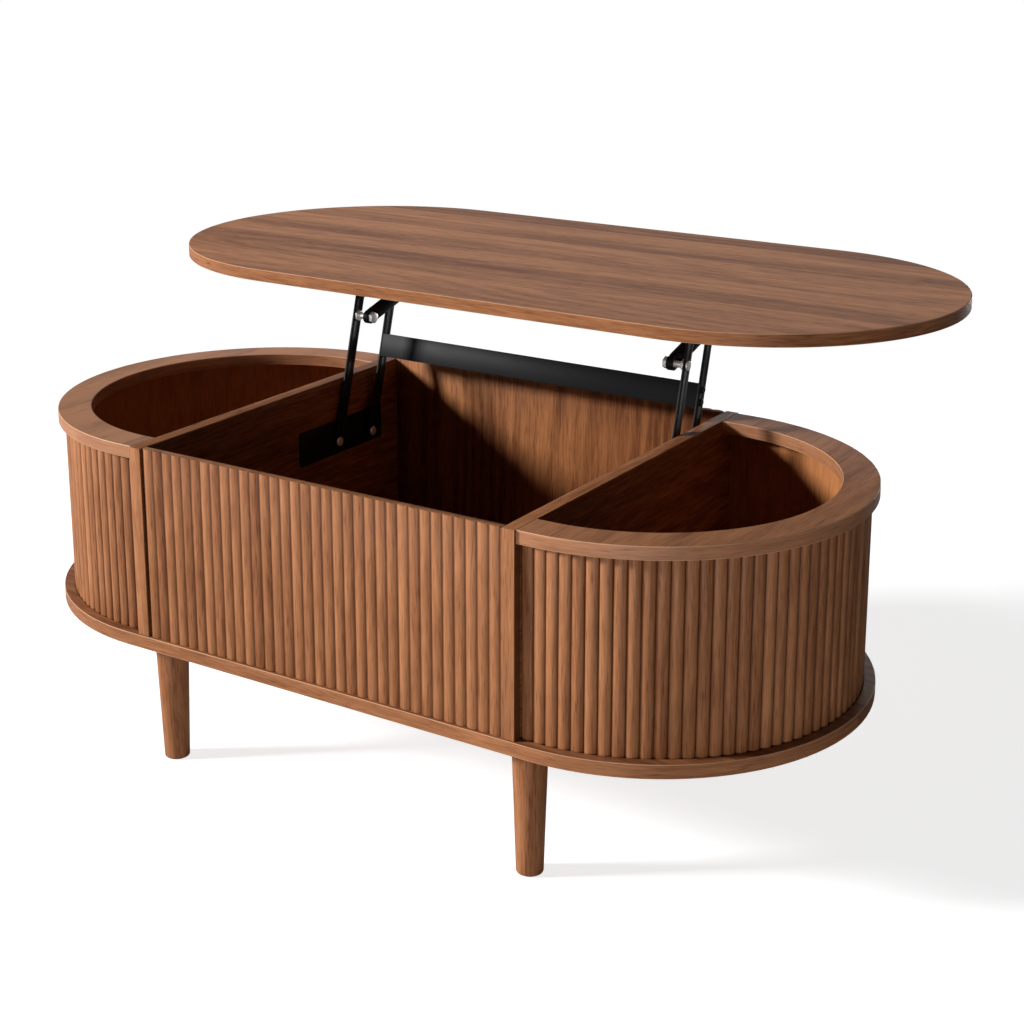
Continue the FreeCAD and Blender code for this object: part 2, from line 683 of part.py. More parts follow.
def strut_tube():
    """Closed cylinder with a flat eye for the arm's bolt and a guide for the rod."""
    outer = STRUT_TUBE_DIA / 2
    floor = STRUT_TUBE_START + STRUT_CAP
    ceiling = strut_tube_end - STRUT_CAP
    rod_hole = strut_rod_radius + STRUT_RUNNING_FIT
    tube = strut_cylinder(STRUT_TUBE_START, strut_tube_end, outer)
    tube = tube.cut(strut_cylinder(floor, ceiling, strut_bore))
    tube = tube.cut(strut_cylinder(ceiling, strut_tube_end, rod_hole))
    eye_radius = STRUT_EYE_DIA / 2
    eye_end = along_strut(floor - eye_radius)
    eye = link_plate(strut_eye_inner, strut_eye_outer, strut_bolt, eye_end, eye_radius)
    tube = tube.fuse(eye)
    return drilled(tube, [pivot_hole(strut_bolt, strut_eye_inner, strut_eye_outer, STRUT_BOLT_DIA)])


def strut_rod():
    """Piston rod that ends in a flat eye under the top."""
    piston = strut_bore - STRUT_RUNNING_FIT
    start = strut_piston_start
    end = STRUT_LENGTH - strut_rod_eye_radius / 2
    rod = strut_cylinder(start, start + STRUT_PISTON_LENGTH, piston)
    rod = rod.fuse(strut_cylinder(start, end, strut_rod_radius))
    eye = cylinder_x(strut_eye_inner, strut_eye_outer, strut_anchor, strut_rod_eye_radius)
    rod = rod.fuse(eye)
    return drilled(rod, [pivot_hole(strut_anchor, strut_eye_inner, strut_eye_outer, STRUT_BOLT_DIA)])


def strut_pin():
    """Shouldered pin of the rod's eye; its plain end faces the bracket's web."""
    shank = cylinder_x(strut_eye_inner, flange_inner - STRUT_PIN_GAP, strut_anchor, STRUT_BOLT_DIA / 2)
    head = pan_head_x(strut_eye_inner, -1, strut_anchor, RIVET_HEAD_DIA, RIVET_HEAD_HEIGHT)
    collar_end = strut_eye_outer + RIVET_HEAD_HEIGHT
    collar = cylinder_x(strut_eye_outer, collar_end, strut_anchor, RIVET_HEAD_DIA / 2)
    return shank.multiFuse([head, collar])


def strut_bolt_solid():
    """Bolt through the front arm and the strut's eye: hexagon head inside, low peened end outside."""
    shank = cylinder_x(strut_eye_inner, front_arm_outer, strut_bolt, STRUT_BOLT_DIA / 2)
    head = hexagon_x(strut_eye_inner - STRUT_BOLT_HEAD_HEIGHT, strut_eye_inner, strut_bolt, STRUT_BOLT_HEAD)
    peened = pan_head_x(front_arm_outer, 1, strut_bolt, RIVET_HEAD_DIA, RIVET_HEAD_HEIGHT)
    return shank.multiFuse([head, peened])


def strut_nut():
    nut_face = front_arm_inner - STRUT_NUT_HEIGHT
    nut = hexagon_x(nut_face, front_arm_inner, strut_bolt, STRUT_BOLT_HEAD)
    return nut.cut(pivot_hole(strut_bolt, nut_face, front_arm_inner, STRUT_BOLT_DIA))


def tabletop():
    board = rounded_board(stadium(end_radius, top_bottom, top_bottom + TOP_THICK),
                          top_bottom, top_bottom + TOP_THICK)
    board.translate(Vector(0, top_travel, 0))
    return drilled(board, top_screw_holes + [mirrored(h) for h in top_screw_holes])


# Every node by name, in the cabinet's own place

nodes = {
    "base_board": base_board(),
    "front_panel": fluted_panel(),
    "back_panel": fluted_panel().mirror(Vector(0, 0, 0), Vector(0, 1, 0)),
    "tabletop": tabletop(),
    "crossbar": crossbar(),
}

sided = {
    "partition": partition(),
    "end_ring": end_ring(),
    "end_backing": end_backing(),
    "end_slats": end_slats(),
    "base_bracket": base_bracket(),
    "front_arm": front_arm(),
    "rear_arm": rear_arm(),
    "top_bracket": top_bracket(),
    "strut_tube": strut_tube(),
    "strut_rod": strut_rod(),
}
for name, shape in sided.items():
    nodes["right_" + name] = shape
    nodes["left_" + name] = mirrored(shape)

for place, (x, y) in leg_places.items():
    nodes[place + "_leg"] = leg(x, y)
    nodes[place + "_leg_plate"] = leg_plate(x, y)

groups = {
    "lower_pivot_rivets": [pivot_rivet(front_lower, partition_inner_x, front_arm_inner),
                           pivot_rivet(rear_lower, partition_inner_x, rear_arm_inner)],
    "lower_pivot_washers": [washer(front_lower, front_arm_outer, bracket_face, WASHER_DIA)],
    "rear_pivot_bushes": [washer(rear_lower, rear_arm_outer, bracket_face, WASHER_DIA)],
    "upper_pivot_rivets": [pivot_rivet(front_upper, front_arm_outer, flange_inner, RIVET_HEAD_HEIGHT),
                           pivot_rivet(rear_upper, flange_outer, rear_arm_inner)],
    "upper_pivot_washers": [washer(front_upper, flange_outer, front_arm_inner, WASHER_DIA),
                            washer(rear_upper, rear_arm_outer, flange_inner, WASHER_DIA)],
    "crossbar_rivets": [crossbar_rivet(c) for c in crossbar_rivet_centres],
    "strut_bolts": [strut_bolt_solid()],
    "strut_nuts": [strut_nut()],
    "strut_pins": [strut_pin()],
    "base_bracket_screws": bracket_screws,
    "top_bracket_screws": top_screws,
    "panel_dowels": panel_dowels,
    "ring_dowels": ring_dowels,
}
for name, solids in groups.items():
    nodes[name] = both_sides(solids)
nodes["base_screws"] = Part.makeCompound(base_screws)
nodes["leg_plate_screws"] = Part.makeCompound(plate_screws)
nodes["leg_hanger_bolts"] = Part.makeCompound(hanger_bolts)

os.makedirs("parts", exist_ok=True)
for name, shape in nodes.items():
    shape.translate(Vector(0, -origin_y, 0))
    shape.exportStep("parts/" + name + ".step")
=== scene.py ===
"""Lift-top coffee table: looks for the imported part, section by section as the table is put together."""

import json
import math
import random

import bpy
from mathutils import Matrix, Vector

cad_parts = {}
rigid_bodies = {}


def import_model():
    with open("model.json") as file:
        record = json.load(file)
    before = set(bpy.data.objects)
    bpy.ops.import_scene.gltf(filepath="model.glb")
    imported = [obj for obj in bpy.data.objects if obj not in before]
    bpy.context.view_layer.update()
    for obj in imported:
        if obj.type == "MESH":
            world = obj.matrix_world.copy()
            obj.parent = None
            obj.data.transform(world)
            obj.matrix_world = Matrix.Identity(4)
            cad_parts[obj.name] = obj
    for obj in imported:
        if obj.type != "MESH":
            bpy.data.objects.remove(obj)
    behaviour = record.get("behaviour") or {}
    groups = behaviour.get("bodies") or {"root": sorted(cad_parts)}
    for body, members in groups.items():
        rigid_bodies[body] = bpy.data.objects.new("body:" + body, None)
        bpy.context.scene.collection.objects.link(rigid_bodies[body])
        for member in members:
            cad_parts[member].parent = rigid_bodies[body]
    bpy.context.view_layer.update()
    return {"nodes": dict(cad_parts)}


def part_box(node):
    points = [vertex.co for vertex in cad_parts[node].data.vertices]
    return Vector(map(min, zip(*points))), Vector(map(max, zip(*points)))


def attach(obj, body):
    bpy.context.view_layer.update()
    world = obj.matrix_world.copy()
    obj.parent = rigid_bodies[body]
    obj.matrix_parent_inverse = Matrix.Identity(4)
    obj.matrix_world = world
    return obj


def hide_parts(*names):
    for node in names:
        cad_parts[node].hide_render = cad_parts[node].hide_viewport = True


for leftover in list(bpy.data.objects):
    bpy.data.objects.remove(leftover)
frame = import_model()
nodes = frame["nodes"]
bpy.ops.object.select_all(action="DESELECT")


# Base board: a stadium of veneered board on which the cabinet stands.
# Walnut veneer runs lengthwise on its faces, and a thin band of the same wood is ironed round its edge.
base_low, base_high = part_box("base_board")
MIDDLE_Y = (base_low.y + base_high.y) / 2
BASE_RADIUS = (base_high.y - base_low.y) / 2
END_CENTRE_X = base_high.x - BASE_RADIUS
VENEER_LIGHT = (0.435, 0.186, 0.081, 1)
VENEER_DARK = (0.138, 0.044, 0.015, 1)
# Dark colour for the bands' glued seams, also used for the painted shade in the reveals and grooves.
SEAM_AND_SHADE_DARK = (0.080, 0.026, 0.009, 1)
# Painted highlight: a light colour laid on the boards' eased arrises, where a lamp would catch them.
ARRIS_HIGHLIGHT_COLOUR = (0.660, 0.400, 0.240, 1)
BAND_THICK = 0.0013
SEAM_HALF = 0.0002
SEAM_STAIN = 0.35
ARRIS_HIGHLIGHT_SHARE = 2.0
GRAIN_DRIFT = 0.035
ARCH_TURNS = 95.0
PORE_START = 0.58
PORE_GAIN = 3.5
PORE_DARK = 0.42
PORE_ROUGH = 0.15
FIBRE_ROUGH = 0.14
FIBRE_RISE = 0.6
SIDES_APART = 3.0
FACING_LEAST = 0.75
GRAIN_BUMP = 0.4
GRAIN_DEPTH = 0.00012
LACQUER_SHINE = 0.11
LACQUER_COAT = 0.06
LACQUER_COAT_ROUGH = 0.30
BASE_TONES = (0.62, 0.50)
BASE_CUT = (0.4, 0.2, 0.1)
BASE_SHINE = 0.16


def link(tree, start, end):
    """A wire between two sockets."""
    tree.links.new(start, end)


def maths(tree, operation, a, b=None, clamp=False):
    """A Math node on sockets or numbers; gives its output."""
    node = tree.nodes.new("ShaderNodeMath")
    node.operation = operation
    node.use_clamp = clamp
    for socket, value in zip(node.inputs, (a, b)):
        if isinstance(value, (int, float)):
            socket.default_value = value
        elif value is not None:
            link(tree, value, socket)
    return node.outputs[0]


def noise(tree, vector, scale, detail, shift=(0, 0, 0)):
    """Noise stretched by three scales, with the grain along the first."""
    stretch = tree.nodes.new("ShaderNodeMapping")
    stretch.inputs["Scale"].default_value = scale
    stretch.inputs["Location"].default_value = shift
    link(tree, vector, stretch.inputs["Vector"])
    texture = tree.nodes.new("ShaderNodeTexNoise")
    texture.inputs["Scale"].default_value = 1.0
    texture.inputs["Detail"].default_value = detail
    texture.inputs["Roughness"].default_value = 0.6
    link(tree, stretch.outputs[0], texture.inputs["Vector"])
    return texture.outputs["Fac"]


def colour_mix(tree, factor, a, b):
    """Colour a where the factor is 0 and colour b where it is 1."""
    node = tree.nodes.new("ShaderNodeMix")
    node.data_type = "RGBA"
    for socket, value in ((node.inputs["Factor"], factor), (node.inputs[6], a), (node.inputs[7], b)):
        if isinstance(value, (int, float, tuple)):
            socket.default_value = value
        else:
            link(tree, value, socket)
    return node.outputs[2]


def number_mix(tree, factor, a, b):
    """Value a where the factor is 0 and value b where it is 1."""
    node = tree.nodes.new("ShaderNodeMix")
    link(tree, factor, node.inputs[0])
    link(tree, a, node.inputs[2])
    link(tree, b, node.inputs[3])
    return node.outputs[0]


def group_with(name, inputs, outputs):
    """An empty shader node group with named sockets; gives the group and its two end nodes."""
    group = bpy.data.node_groups.new(name, "ShaderNodeTree")
    for kind, label, value in inputs:
        socket = group.interface.new_socket(label, in_out="INPUT", socket_type="NodeSocket" + kind)
        if value is not None:
            socket.default_value = value
    for kind, label in outputs:
        group.interface.new_socket(label, in_out="OUTPUT", socket_type="NodeSocket" + kind)
    return group, group.nodes.new("NodeGroupInput"), group.nodes.new("NodeGroupOutput")


def walnut_grain_group():
    """Walnut grain along the vector's x, in veneer leaves side by side along y."""
    group, given, made = group_with(
        "walnut_grain",
        [("Vector", "Along", None), ("Color", "Light", VENEER_LIGHT), ("Color", "Dark", VENEER_DARK),
         ("Float", "Tone", 0.5), ("Float", "Bands", 0.9), ("Float", "Streaks", 1.2),
         ("Float", "Fibres", 1.7), ("Float", "Arches", 0.06), ("Float", "Mottle", 0.35),
         ("Float", "Leaf contrast", 0.0), ("Float", "Leaf width", 0.06), ("Float", "Gloss", 0.40)],
        [("Color", "Colour"), ("Float", "Roughness"), ("Float", "Height")])
    split = group.nodes.new("ShaderNodeSeparateXYZ")
    link(group, given.outputs["Along"], split.inputs[0])
    drift = noise(group, given.outputs["Along"], scale=(1.3, 5.0, 5.0), detail=1.0, shift=(4.4, 0.6, 2.7))
    drift = maths(group, "MULTIPLY", maths(group, "SUBTRACT", drift, 0.5), GRAIN_DRIFT)
    join = group.nodes.new("ShaderNodeCombineXYZ")
    link(group, split.outputs["X"], join.inputs["X"])
    link(group, maths(group, "ADD", split.outputs["Y"], drift), join.inputs["Y"])
    link(group, maths(group, "ADD", split.outputs["Z"], drift), join.inputs["Z"])
    along = join.outputs[0]

    leaf_count = maths(group, "DIVIDE", split.outputs["Y"], given.outputs["Leaf width"])
    leaf = group.nodes.new("ShaderNodeTexWhiteNoise")
    leaf.noise_dimensions = "1D"
    link(group, maths(group, "FLOOR", leaf_count), leaf.inputs["W"])

    def share(value, weight):
        """A pattern's part in the tone, lighter and darker about its mean."""
        return maths(group, "MULTIPLY", maths(group, "SUBTRACT", value, 0.5), weight)

    bands = noise(group, along, scale=(0.9, 11.0, 11.0), detail=2.0)
    streaks = noise(group, along, scale=(2.6, 70.0, 70.0), detail=4.0, shift=(3.1, 1.7, 0.4))
    fibres = noise(group, along, scale=(24.0, 430.0, 430.0), detail=2.0, shift=(5.3, 2.9, 1.1))
    pores = noise(group, along, scale=(55.0, 1000.0, 1000.0), detail=0.0, shift=(1.9, 7.3, 2.2))
    mottle = noise(group, along, scale=(13.0, 60.0, 60.0), detail=2.0, shift=(6.1, 3.7, 9.2))
    field = noise(group, along, scale=(1.1, 7.5, 7.5), detail=0.5, shift=(8.7, 4.1, 3.3))
    arches = maths(group, "SINE", maths(group, "MULTIPLY", field, ARCH_TURNS))
    pit = maths(group, "MULTIPLY", maths(group, "SUBTRACT", pores, PORE_START, True), PORE_GAIN, True)
    shares = (
        share(bands, given.outputs["Bands"]),
        share(streaks, given.outputs["Streaks"]),
        share(fibres, given.outputs["Fibres"]),
        share(mottle, given.outputs["Mottle"]),
        share(leaf.outputs["Value"], given.outputs["Leaf contrast"]),
        maths(group, "MULTIPLY", arches, given.outputs["Arches"]),
    )
    tone = given.outputs["Tone"]
    for part in shares:
        tone = maths(group, "ADD", tone, part)
    tone = maths(group, "SUBTRACT", tone, maths(group, "MULTIPLY", pit, PORE_DARK), True)
    link(group, colour_mix(group, tone, given.outputs["Dark"], given.outputs["Light"]), made.inputs["Colour"])
    rough = maths(group, "ADD", given.outputs["Gloss"], maths(group, "MULTIPLY", fibres, FIBRE_ROUGH))
    rough = maths(group, "ADD", rough, maths(group, "MULTIPLY", pit, PORE_ROUGH))
    link(group, rough, made.inputs["Roughness"])
    rise = maths(group, "MULTIPLY", fibres, FIBRE_RISE)
    link(group, maths(group, "SUBTRACT", rise, pit), made.inputs["Height"])
    return group


def edge_run_group():
    """Way along a stadium board's edge, for its band's grain, and reach from the line of the end centres."""
    group, given, made = group_with(
        "edge_run",
        [("Vector", "Position", None), ("Float", "End centre", END_CENTRE_X), ("Float", "Middle", MIDDLE_Y),
         ("Float", "Radius", 0.25)],
        [("Vector", "Run"), ("Float", "Reach")])
    split = group.nodes.new("ShaderNodeSeparateXYZ")
    link(group, given.outputs["Position"], split.inputs[0])
    x = split.outputs["X"]
    y = maths(group, "SUBTRACT", split.outputs["Y"], given.outputs["Middle"])
    end = given.outputs["End centre"]
    inside = maths(group, "MAXIMUM", maths(group, "MINIMUM", x, end), maths(group, "MULTIPLY", end, -1.0))
    past = maths(group, "SUBTRACT", x, inside)
    turn = maths(group, "ARCTAN2", past, maths(group, "ABSOLUTE", y))
    run = maths(group, "ADD", inside, maths(group, "MULTIPLY", turn, given.outputs["Radius"]))
    square = maths(group, "ADD", maths(group, "MULTIPLY", past, past), maths(group, "MULTIPLY", y, y))
    join = group.nodes.new("ShaderNodeCombineXYZ")
    link(group, run, join.inputs["X"])
    link(group, split.outputs["Z"], join.inputs["Y"])
    link(group, maths(group, "MULTIPLY", maths(group, "SIGN", y), SIDES_APART), join.inputs["Z"])
    link(group, join.outputs[0], made.inputs["Run"])
    link(group, maths(group, "SQRT", square), made.inputs["Reach"])
    return group


WALNUT = walnut_grain_group()
EDGE_RUN = edge_run_group()


def material_with_shader(name):
    """A node material with one Principled shader; gives the material, its tree and the shader."""
    material = bpy.data.materials.new(name)
    material.use_nodes = True
    return material, material.node_tree, material.node_tree.nodes["Principled BSDF"]


def placed(tree, group, **values):
    """A node group placed in a material with its own values."""
    node = tree.nodes.new("ShaderNodeGroup")
    node.node_tree = group
    for label, value in values.items():
        node.inputs[label.replace("_", " ")].default_value = value
    return node


def object_spot(tree, output="Object"):
    """Where a point lies on its piece, or which way it faces."""
    return tree.nodes.new("ShaderNodeTexCoord").outputs[output]


def grain_along(tree, order, shift=(0, 0, 0)):
    """Object coordinates turned so that the grain comes first and the leaves' width second."""
    turn = tree.nodes.new("ShaderNodeMapping")
    turn.inputs["Rotation"].default_value = {
        "XYZ": (0, 0, 0), "YXZ": (0, 0, -math.pi / 2), "ZXY": (math.pi / 2, 0, math.pi / 2),
        "YZX": (-math.pi / 2, -math.pi / 2, 0)}[order]
    turn.inputs["Location"].default_value = shift
    link(tree, object_spot(tree), turn.inputs["Vector"])
    return turn.outputs[0]


def facing(tree, axis):
    """1 where a surface faces along an object axis, 0 where it stands across it."""
    split = tree.nodes.new("ShaderNodeSeparateXYZ")
    link(tree, object_spot(tree, "Normal"), split.inputs[0])
    return maths(tree, "GREATER_THAN", maths(tree, "ABSOLUTE", split.outputs[axis]), FACING_LEAST)


def painted_arris_highlight(tree):
    """Painted highlight mask: most on the small rounds between a board's faces and its edge, none on either.
    """
    split = tree.nodes.new("ShaderNodeSeparateXYZ")
    link(tree, object_spot(tree, "Normal"), split.inputs[0])
    rise = maths(tree, "ABSOLUTE", split.outputs["Z"])
    between = maths(tree, "MULTIPLY", rise, maths(tree, "SUBTRACT", 1.0, rise))
    return maths(tree, "MULTIPLY", between, ARRIS_HIGHLIGHT_SHARE, True)


def lacquered(tree, shader, colour, rough, height, shine=LACQUER_SHINE):
    """Satin lacquer over wood: colour, roughness and a fine bump on the shader, and a thin clear coat."""
    bump = tree.nodes.new("ShaderNodeBump")
    bump.inputs["Strength"].default_value = GRAIN_BUMP
    bump.inputs["Distance"].default_value = GRAIN_DEPTH
    link(tree, height, bump.inputs["Height"])
    link(tree, bump.outputs[0], shader.inputs["Normal"])
    link(tree, colour, shader.inputs["Base Color"])
    link(tree, rough, shader.inputs["Roughness"])
    shader.inputs["Specular IOR Level"].default_value = shine
    shader.inputs["Coat Weight"].default_value = LACQUER_COAT
    shader.inputs["Coat Roughness"].default_value = LACQUER_COAT_ROUGH


def two_grains(tree, shader, mask, where_0, where_1, shine=LACQUER_SHINE):
    """Lacquered wood with one grain where the mask is 0 and another where it is 1."""
    lacquered(tree, shader,
              colour_mix(tree, mask, where_0.outputs["Colour"], where_1.outputs["Colour"]),
              number_mix(tree, mask, where_0.outputs["Roughness"], where_1.outputs["Roughness"]),
              number_mix(tree, mask, where_0.outputs["Height"], where_1.outputs["Height"]), shine)


def board_material(name, order, radius, middle, tones, shift, shine, inner_radius=0.0, paler=1.0):
    """Veneered stadium board: grain one way on the faces, a glued band whose grain runs round, and a painted
    highlight on the arrises.
    """
    material, tree, shader = material_with_shader(name)
    face_tone, band_tone = tones
    face = placed(tree, WALNUT, Tone=face_tone, Bands=1.05, Streaks=1.0, Fibres=1.4, Arches=0.10,
                  Leaf_contrast=0.55, Leaf_width=0.052,
                  Light=[paler * part for part in VENEER_LIGHT], Dark=[paler * part for part in VENEER_DARK])
    link(tree, grain_along(tree, order, shift), face.inputs["Along"])
    run = placed(tree, EDGE_RUN, Radius=radius, Middle=middle)
    link(tree, object_spot(tree), run.inputs["Position"])
    band = placed(tree, WALNUT, Tone=band_tone, Bands=0.4, Streaks=0.5, Fibres=1.0, Arches=0.02)
    link(tree, run.outputs["Run"], band.inputs["Along"])
    two_grains(tree, shader, facing(tree, "Z"), band, face, shine)
    wood = shader.inputs["Base Color"].links[0].from_socket
    seam = maths(tree, "COMPARE", run.outputs["Reach"], radius - BAND_THICK)
    seam.node.inputs[2].default_value = SEAM_HALF
    if inner_radius:
        inner_seam = maths(tree, "COMPARE", run.outputs["Reach"], inner_radius + BAND_THICK)
        inner_seam.node.inputs[2].default_value = SEAM_HALF
        seam = maths(tree, "MAXIMUM", seam, inner_seam)
    wood = colour_mix(tree, maths(tree, "MULTIPLY", seam, SEAM_STAIN), wood, SEAM_AND_SHADE_DARK)
    # Painted highlight along the rounded arrises.
    link(tree, colour_mix(tree, painted_arris_highlight(tree), wood, ARRIS_HIGHLIGHT_COLOUR), shader.inputs["Base Color"])
    return material


def coat(material, *names):
    """Gives CAD nodes their material."""
    for name in names:
        nodes[name].data.materials.clear()
        nodes[name].data.materials.append(material)


coat(board_material("walnut_base", "XYZ", BASE_RADIUS, MIDDLE_Y, BASE_TONES, BASE_CUT, BASE_SHINE),
     "base_board")


# Partitions: two upright boards between the middle and the end compartments, screwed from below.
# Their veneer runs front to back, and their arrises are eased.
# The strips that close their front and back ends have upright grain, with painted shade on the side faces
# beside them.
ARRIS = 0.0006
SHARP_ANGLE = math.radians(40)
SMOOTH_ANGLE = math.radians(35)
FLAT_ANGLE = math.radians(0.5)
SAME_POINT = 1e-6
REVEAL_START = 0.239
REVEAL_SHADE = 0.8


def start_edit(piece):
    """Opens one piece in edit mode with all its vertices selected."""
    bpy.ops.object.select_all(action="DESELECT")
    piece.select_set(True)
    bpy.context.view_layer.objects.active = piece
    bpy.ops.object.mode_set(mode="EDIT")
    bpy.ops.mesh.select_mode(type="VERT")
    bpy.ops.mesh.select_all(action="SELECT")


def end_edit():
    """Back to object mode."""
    bpy.ops.object.mode_set(mode="OBJECT")


def apply_modifier(piece, kind, **settings):
    """A modifier with its settings, applied to the piece's mesh."""
    modifier = piece.modifiers.new(kind.lower(), kind)
    for label, value in settings.items():
        setattr(modifier, label, value)
    bpy.context.view_layer.objects.active = piece
    bpy.ops.object.modifier_apply(modifier=modifier.name)


def ease(piece, width, sharp=SHARP_ANGLE):
    """Rounds a piece's sharp edges and shades it smooth between them."""
    apply_modifier(piece, "BEVEL", width=width, segments=2, limit_method="ANGLE",
                   angle_limit=sharp, use_clamp_overlap=False)
    bpy.ops.object.select_all(action="DESELECT")
    piece.select_set(True)
    bpy.context.view_layer.objects.active = piece
    bpy.ops.object.shade_smooth_by_angle(angle=SMOOTH_ANGLE)


def stands_for(piece, body, slot, material, *names):
    """A finished piece takes the place of CAD nodes, on their body, in their finish."""
    piece.data.materials.clear()
    piece.data.materials.append(material)
    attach(piece, body)
    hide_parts(*names)


def eased_copy(name, node, width):
    """A merged copy of a CAD node with its sharp edges rounded."""
    piece = bpy.data.objects.new(name, nodes[node].data.copy())
    bpy.context.scene.collection.objects.link(piece)
    start_edit(piece)
    bpy.ops.mesh.remove_doubles(threshold=SAME_POINT)
    bpy.ops.mesh.customdata_custom_splitnormals_clear()
    bpy.ops.mesh.dissolve_limited(angle_limit=FLAT_ANGLE)
    end_edit()
    ease(piece, width)
    return piece


def partition_material():
    """Veneer front to back on the faces, upright on the end strips, with painted shade in the reveals."""
    material, tree, shader = material_with_shader("walnut_partition")
    face = placed(tree, WALNUT, Tone=0.42, Leaf_contrast=0.12, Leaf_width=0.075)
    link(tree, grain_along(tree, "YZX", shift=(0.7, 0.1, 0.5)), face.inputs["Along"])
    strip = placed(tree, WALNUT, Tone=0.62, Bands=0.4, Streaks=0.4, Fibres=1.0, Arches=0.02)
    link(tree, grain_along(tree, "ZXY", shift=(0.2, 0.9, 0.3)), strip.inputs["Along"])
    two_grains(tree, shader, facing(tree, "Y"), face, strip)
    split = tree.nodes.new("ShaderNodeSeparateXYZ")
    link(tree, object_spot(tree), split.inputs[0])
    reach = maths(tree, "ABSOLUTE", maths(tree, "SUBTRACT", split.outputs["Y"], MIDDLE_Y))
    # Painted shade: the side faces near the front and back ends are darkened, as the recess there is shaded.
    reveal = maths(tree, "MULTIPLY", maths(tree, "GREATER_THAN", reach, REVEAL_START), facing(tree, "X"))
    painted_shade = maths(tree, "MULTIPLY", reveal, REVEAL_SHADE)
    wood = shader.inputs["Base Color"].links[0].from_socket
    link(tree, colour_mix(tree, painted_shade, wood, SEAM_AND_SHADE_DARK), shader.inputs["Base Color"])
    return material


PARTITION_WOOD = partition_material()
for side in ("left", "right"):
    board = eased_copy(side + "_partition_board", side + "_partition", ARRIS)
    stands_for(board, "cabinet", "walnut_board", PARTITION_WOOD, side + "_partition")


# Fluted panels: front and back boards milled into thirty-four upright rounds, with veneer pressed over.
# Each round took a slightly different strip of veneer, so its tone differs a little from its neighbours'.
# A rabbet at each end lets a tongue meet the partition behind a thin shadow groove.
FLUTE_COUNT = 34
FLUTE_RISE = 0.0028
PANEL_HALF = 0.241
PANEL_CREST = 0.249
PANEL_BACK = 0.0075
RABBET_DEPTH = 0.0008
RABBET_WIDTH = 0.0020
CABINET_FLOOR = base_high.z
CABINET_HEIGHT = 0.227
FLUTE_PITCH = 2 * PANEL_HALF / FLUTE_COUNT
MERGE = 1e-4
# Painted shade in the grooves between the flutes and between the slats.
GROOVE_START = 0.45
GROOVE_SHADE = 0.75
FLUTE_TONE = 0.39
STRIP_TONE = 0.28
TONE_DRIFT = 0.45
STRIPS_APART = 7.0
CIRCLE_POINTS = 64
FLUTE_SHARP_ANGLE = math.radians(50)
INSIDE_LIGHT = (0.450, 0.176, 0.063, 1)


def select_by(piece, test):
    """In edit mode, selects the vertices whose place passes the test."""
    bpy.ops.mesh.select_all(action="DESELECT")
    end_edit()
    for vertex in piece.data.vertices:
        vertex.select = test(vertex.co)
    bpy.ops.object.mode_set(mode="EDIT")


def settle(piece):
    """Puts a piece's place, turn and scale into its mesh."""
    bpy.ops.object.select_all(action="DESELECT")
    piece.select_set(True)
    bpy.context.view_layer.objects.active = piece
    bpy.ops.object.transform_apply(location=True, rotation=True, scale=True)


def round_front(name, width, rise, x, crest_y, z):
    """Arc in plan, as the front of one flute or slat: a circle cut off at its chord."""
    radius = ((width / 2) ** 2 + rise ** 2) / (2 * rise)
    bpy.ops.object.select_all(action="DESELECT")
    bpy.ops.mesh.primitive_circle_add(vertices=CIRCLE_POINTS, radius=radius, fill_type="NOTHING",
                                      location=(x, crest_y + radius, z))
    piece = bpy.context.object
    piece.name = name
    settle(piece)
    start_edit(piece)
    bpy.ops.mesh.bisect(plane_co=(x, crest_y + rise, z), plane_no=(0, 1, 0), clear_outer=True)
    end_edit()
    return piece


def upright_board(piece, half, back, height, rabbet=0.0, tongue=0.0):
    """Closes a row of arcs behind into a flat board, with a rabbet at its ends, and draws it up."""
    start_edit(piece)
    select_by(piece, lambda place: abs(place.x) > half - MERGE)
    if tongue:
        bpy.ops.mesh.extrude_region_move(TRANSFORM_OT_translate={"value": (0, rabbet, 0)})
        end_edit()
        step = max(vertex.co.y for vertex in piece.data.vertices) - MERGE
        start_edit(piece)
        for way in (1, -1):
            select_by(piece, lambda place: way * place.x > half - MERGE and place.y > step)
            bpy.ops.mesh.extrude_region_move(TRANSFORM_OT_translate={"value": (way * tongue, 0, 0)})
        select_by(piece, lambda place: abs(place.x) > half + tongue - MERGE)
    bpy.ops.mesh.extrude_region_move(TRANSFORM_OT_translate={"value": (0, back - rabbet, 0)})
    bpy.ops.mesh.edge_face_add()
    bpy.ops.mesh.select_all(action="SELECT")
    bpy.ops.mesh.edge_face_add()
    bpy.ops.mesh.select_all(action="SELECT")
    bpy.ops.mesh.extrude_region_move(TRANSFORM_OT_translate={"value": (0, 0, height)})
    bpy.ops.mesh.select_all(action="SELECT")
    bpy.ops.mesh.normals_make_consistent(inside=False)
    end_edit()


def strip_of_its_own(tree, vector, strip):
    """Grain moved along by a strip's number, so that neighbours don't continue each other."""
    move = tree.nodes.new("ShaderNodeVectorMath")
    move.operation = "ADD"
    away = tree.nodes.new("ShaderNodeCombineXYZ")
    link(tree, maths(tree, "MULTIPLY", strip, STRIPS_APART), away.inputs["X"])
    link(tree, vector, move.inputs[0])
    link(tree, away.outputs[0], move.inputs[1])
    return move.outputs[0]


def painted_groove_shade(tree, shader, below_crest, rise):
    """Painted shade: darker colour down between the rounds, where shade falls."""
    low = maths(tree, "SUBTRACT", maths(tree, "DIVIDE", below_crest, rise), GROOVE_START)
    low = maths(tree, "DIVIDE", low, 1.0 - GROOVE_START, True)
    wood = shader.inputs["Base Color"].links[0].from_socket
    painted_shade = maths(tree, "MULTIPLY", low, GROOVE_SHADE)
    link(tree, colour_mix(tree, painted_shade, wood, SEAM_AND_SHADE_DARK), shader.inputs["Base Color"])


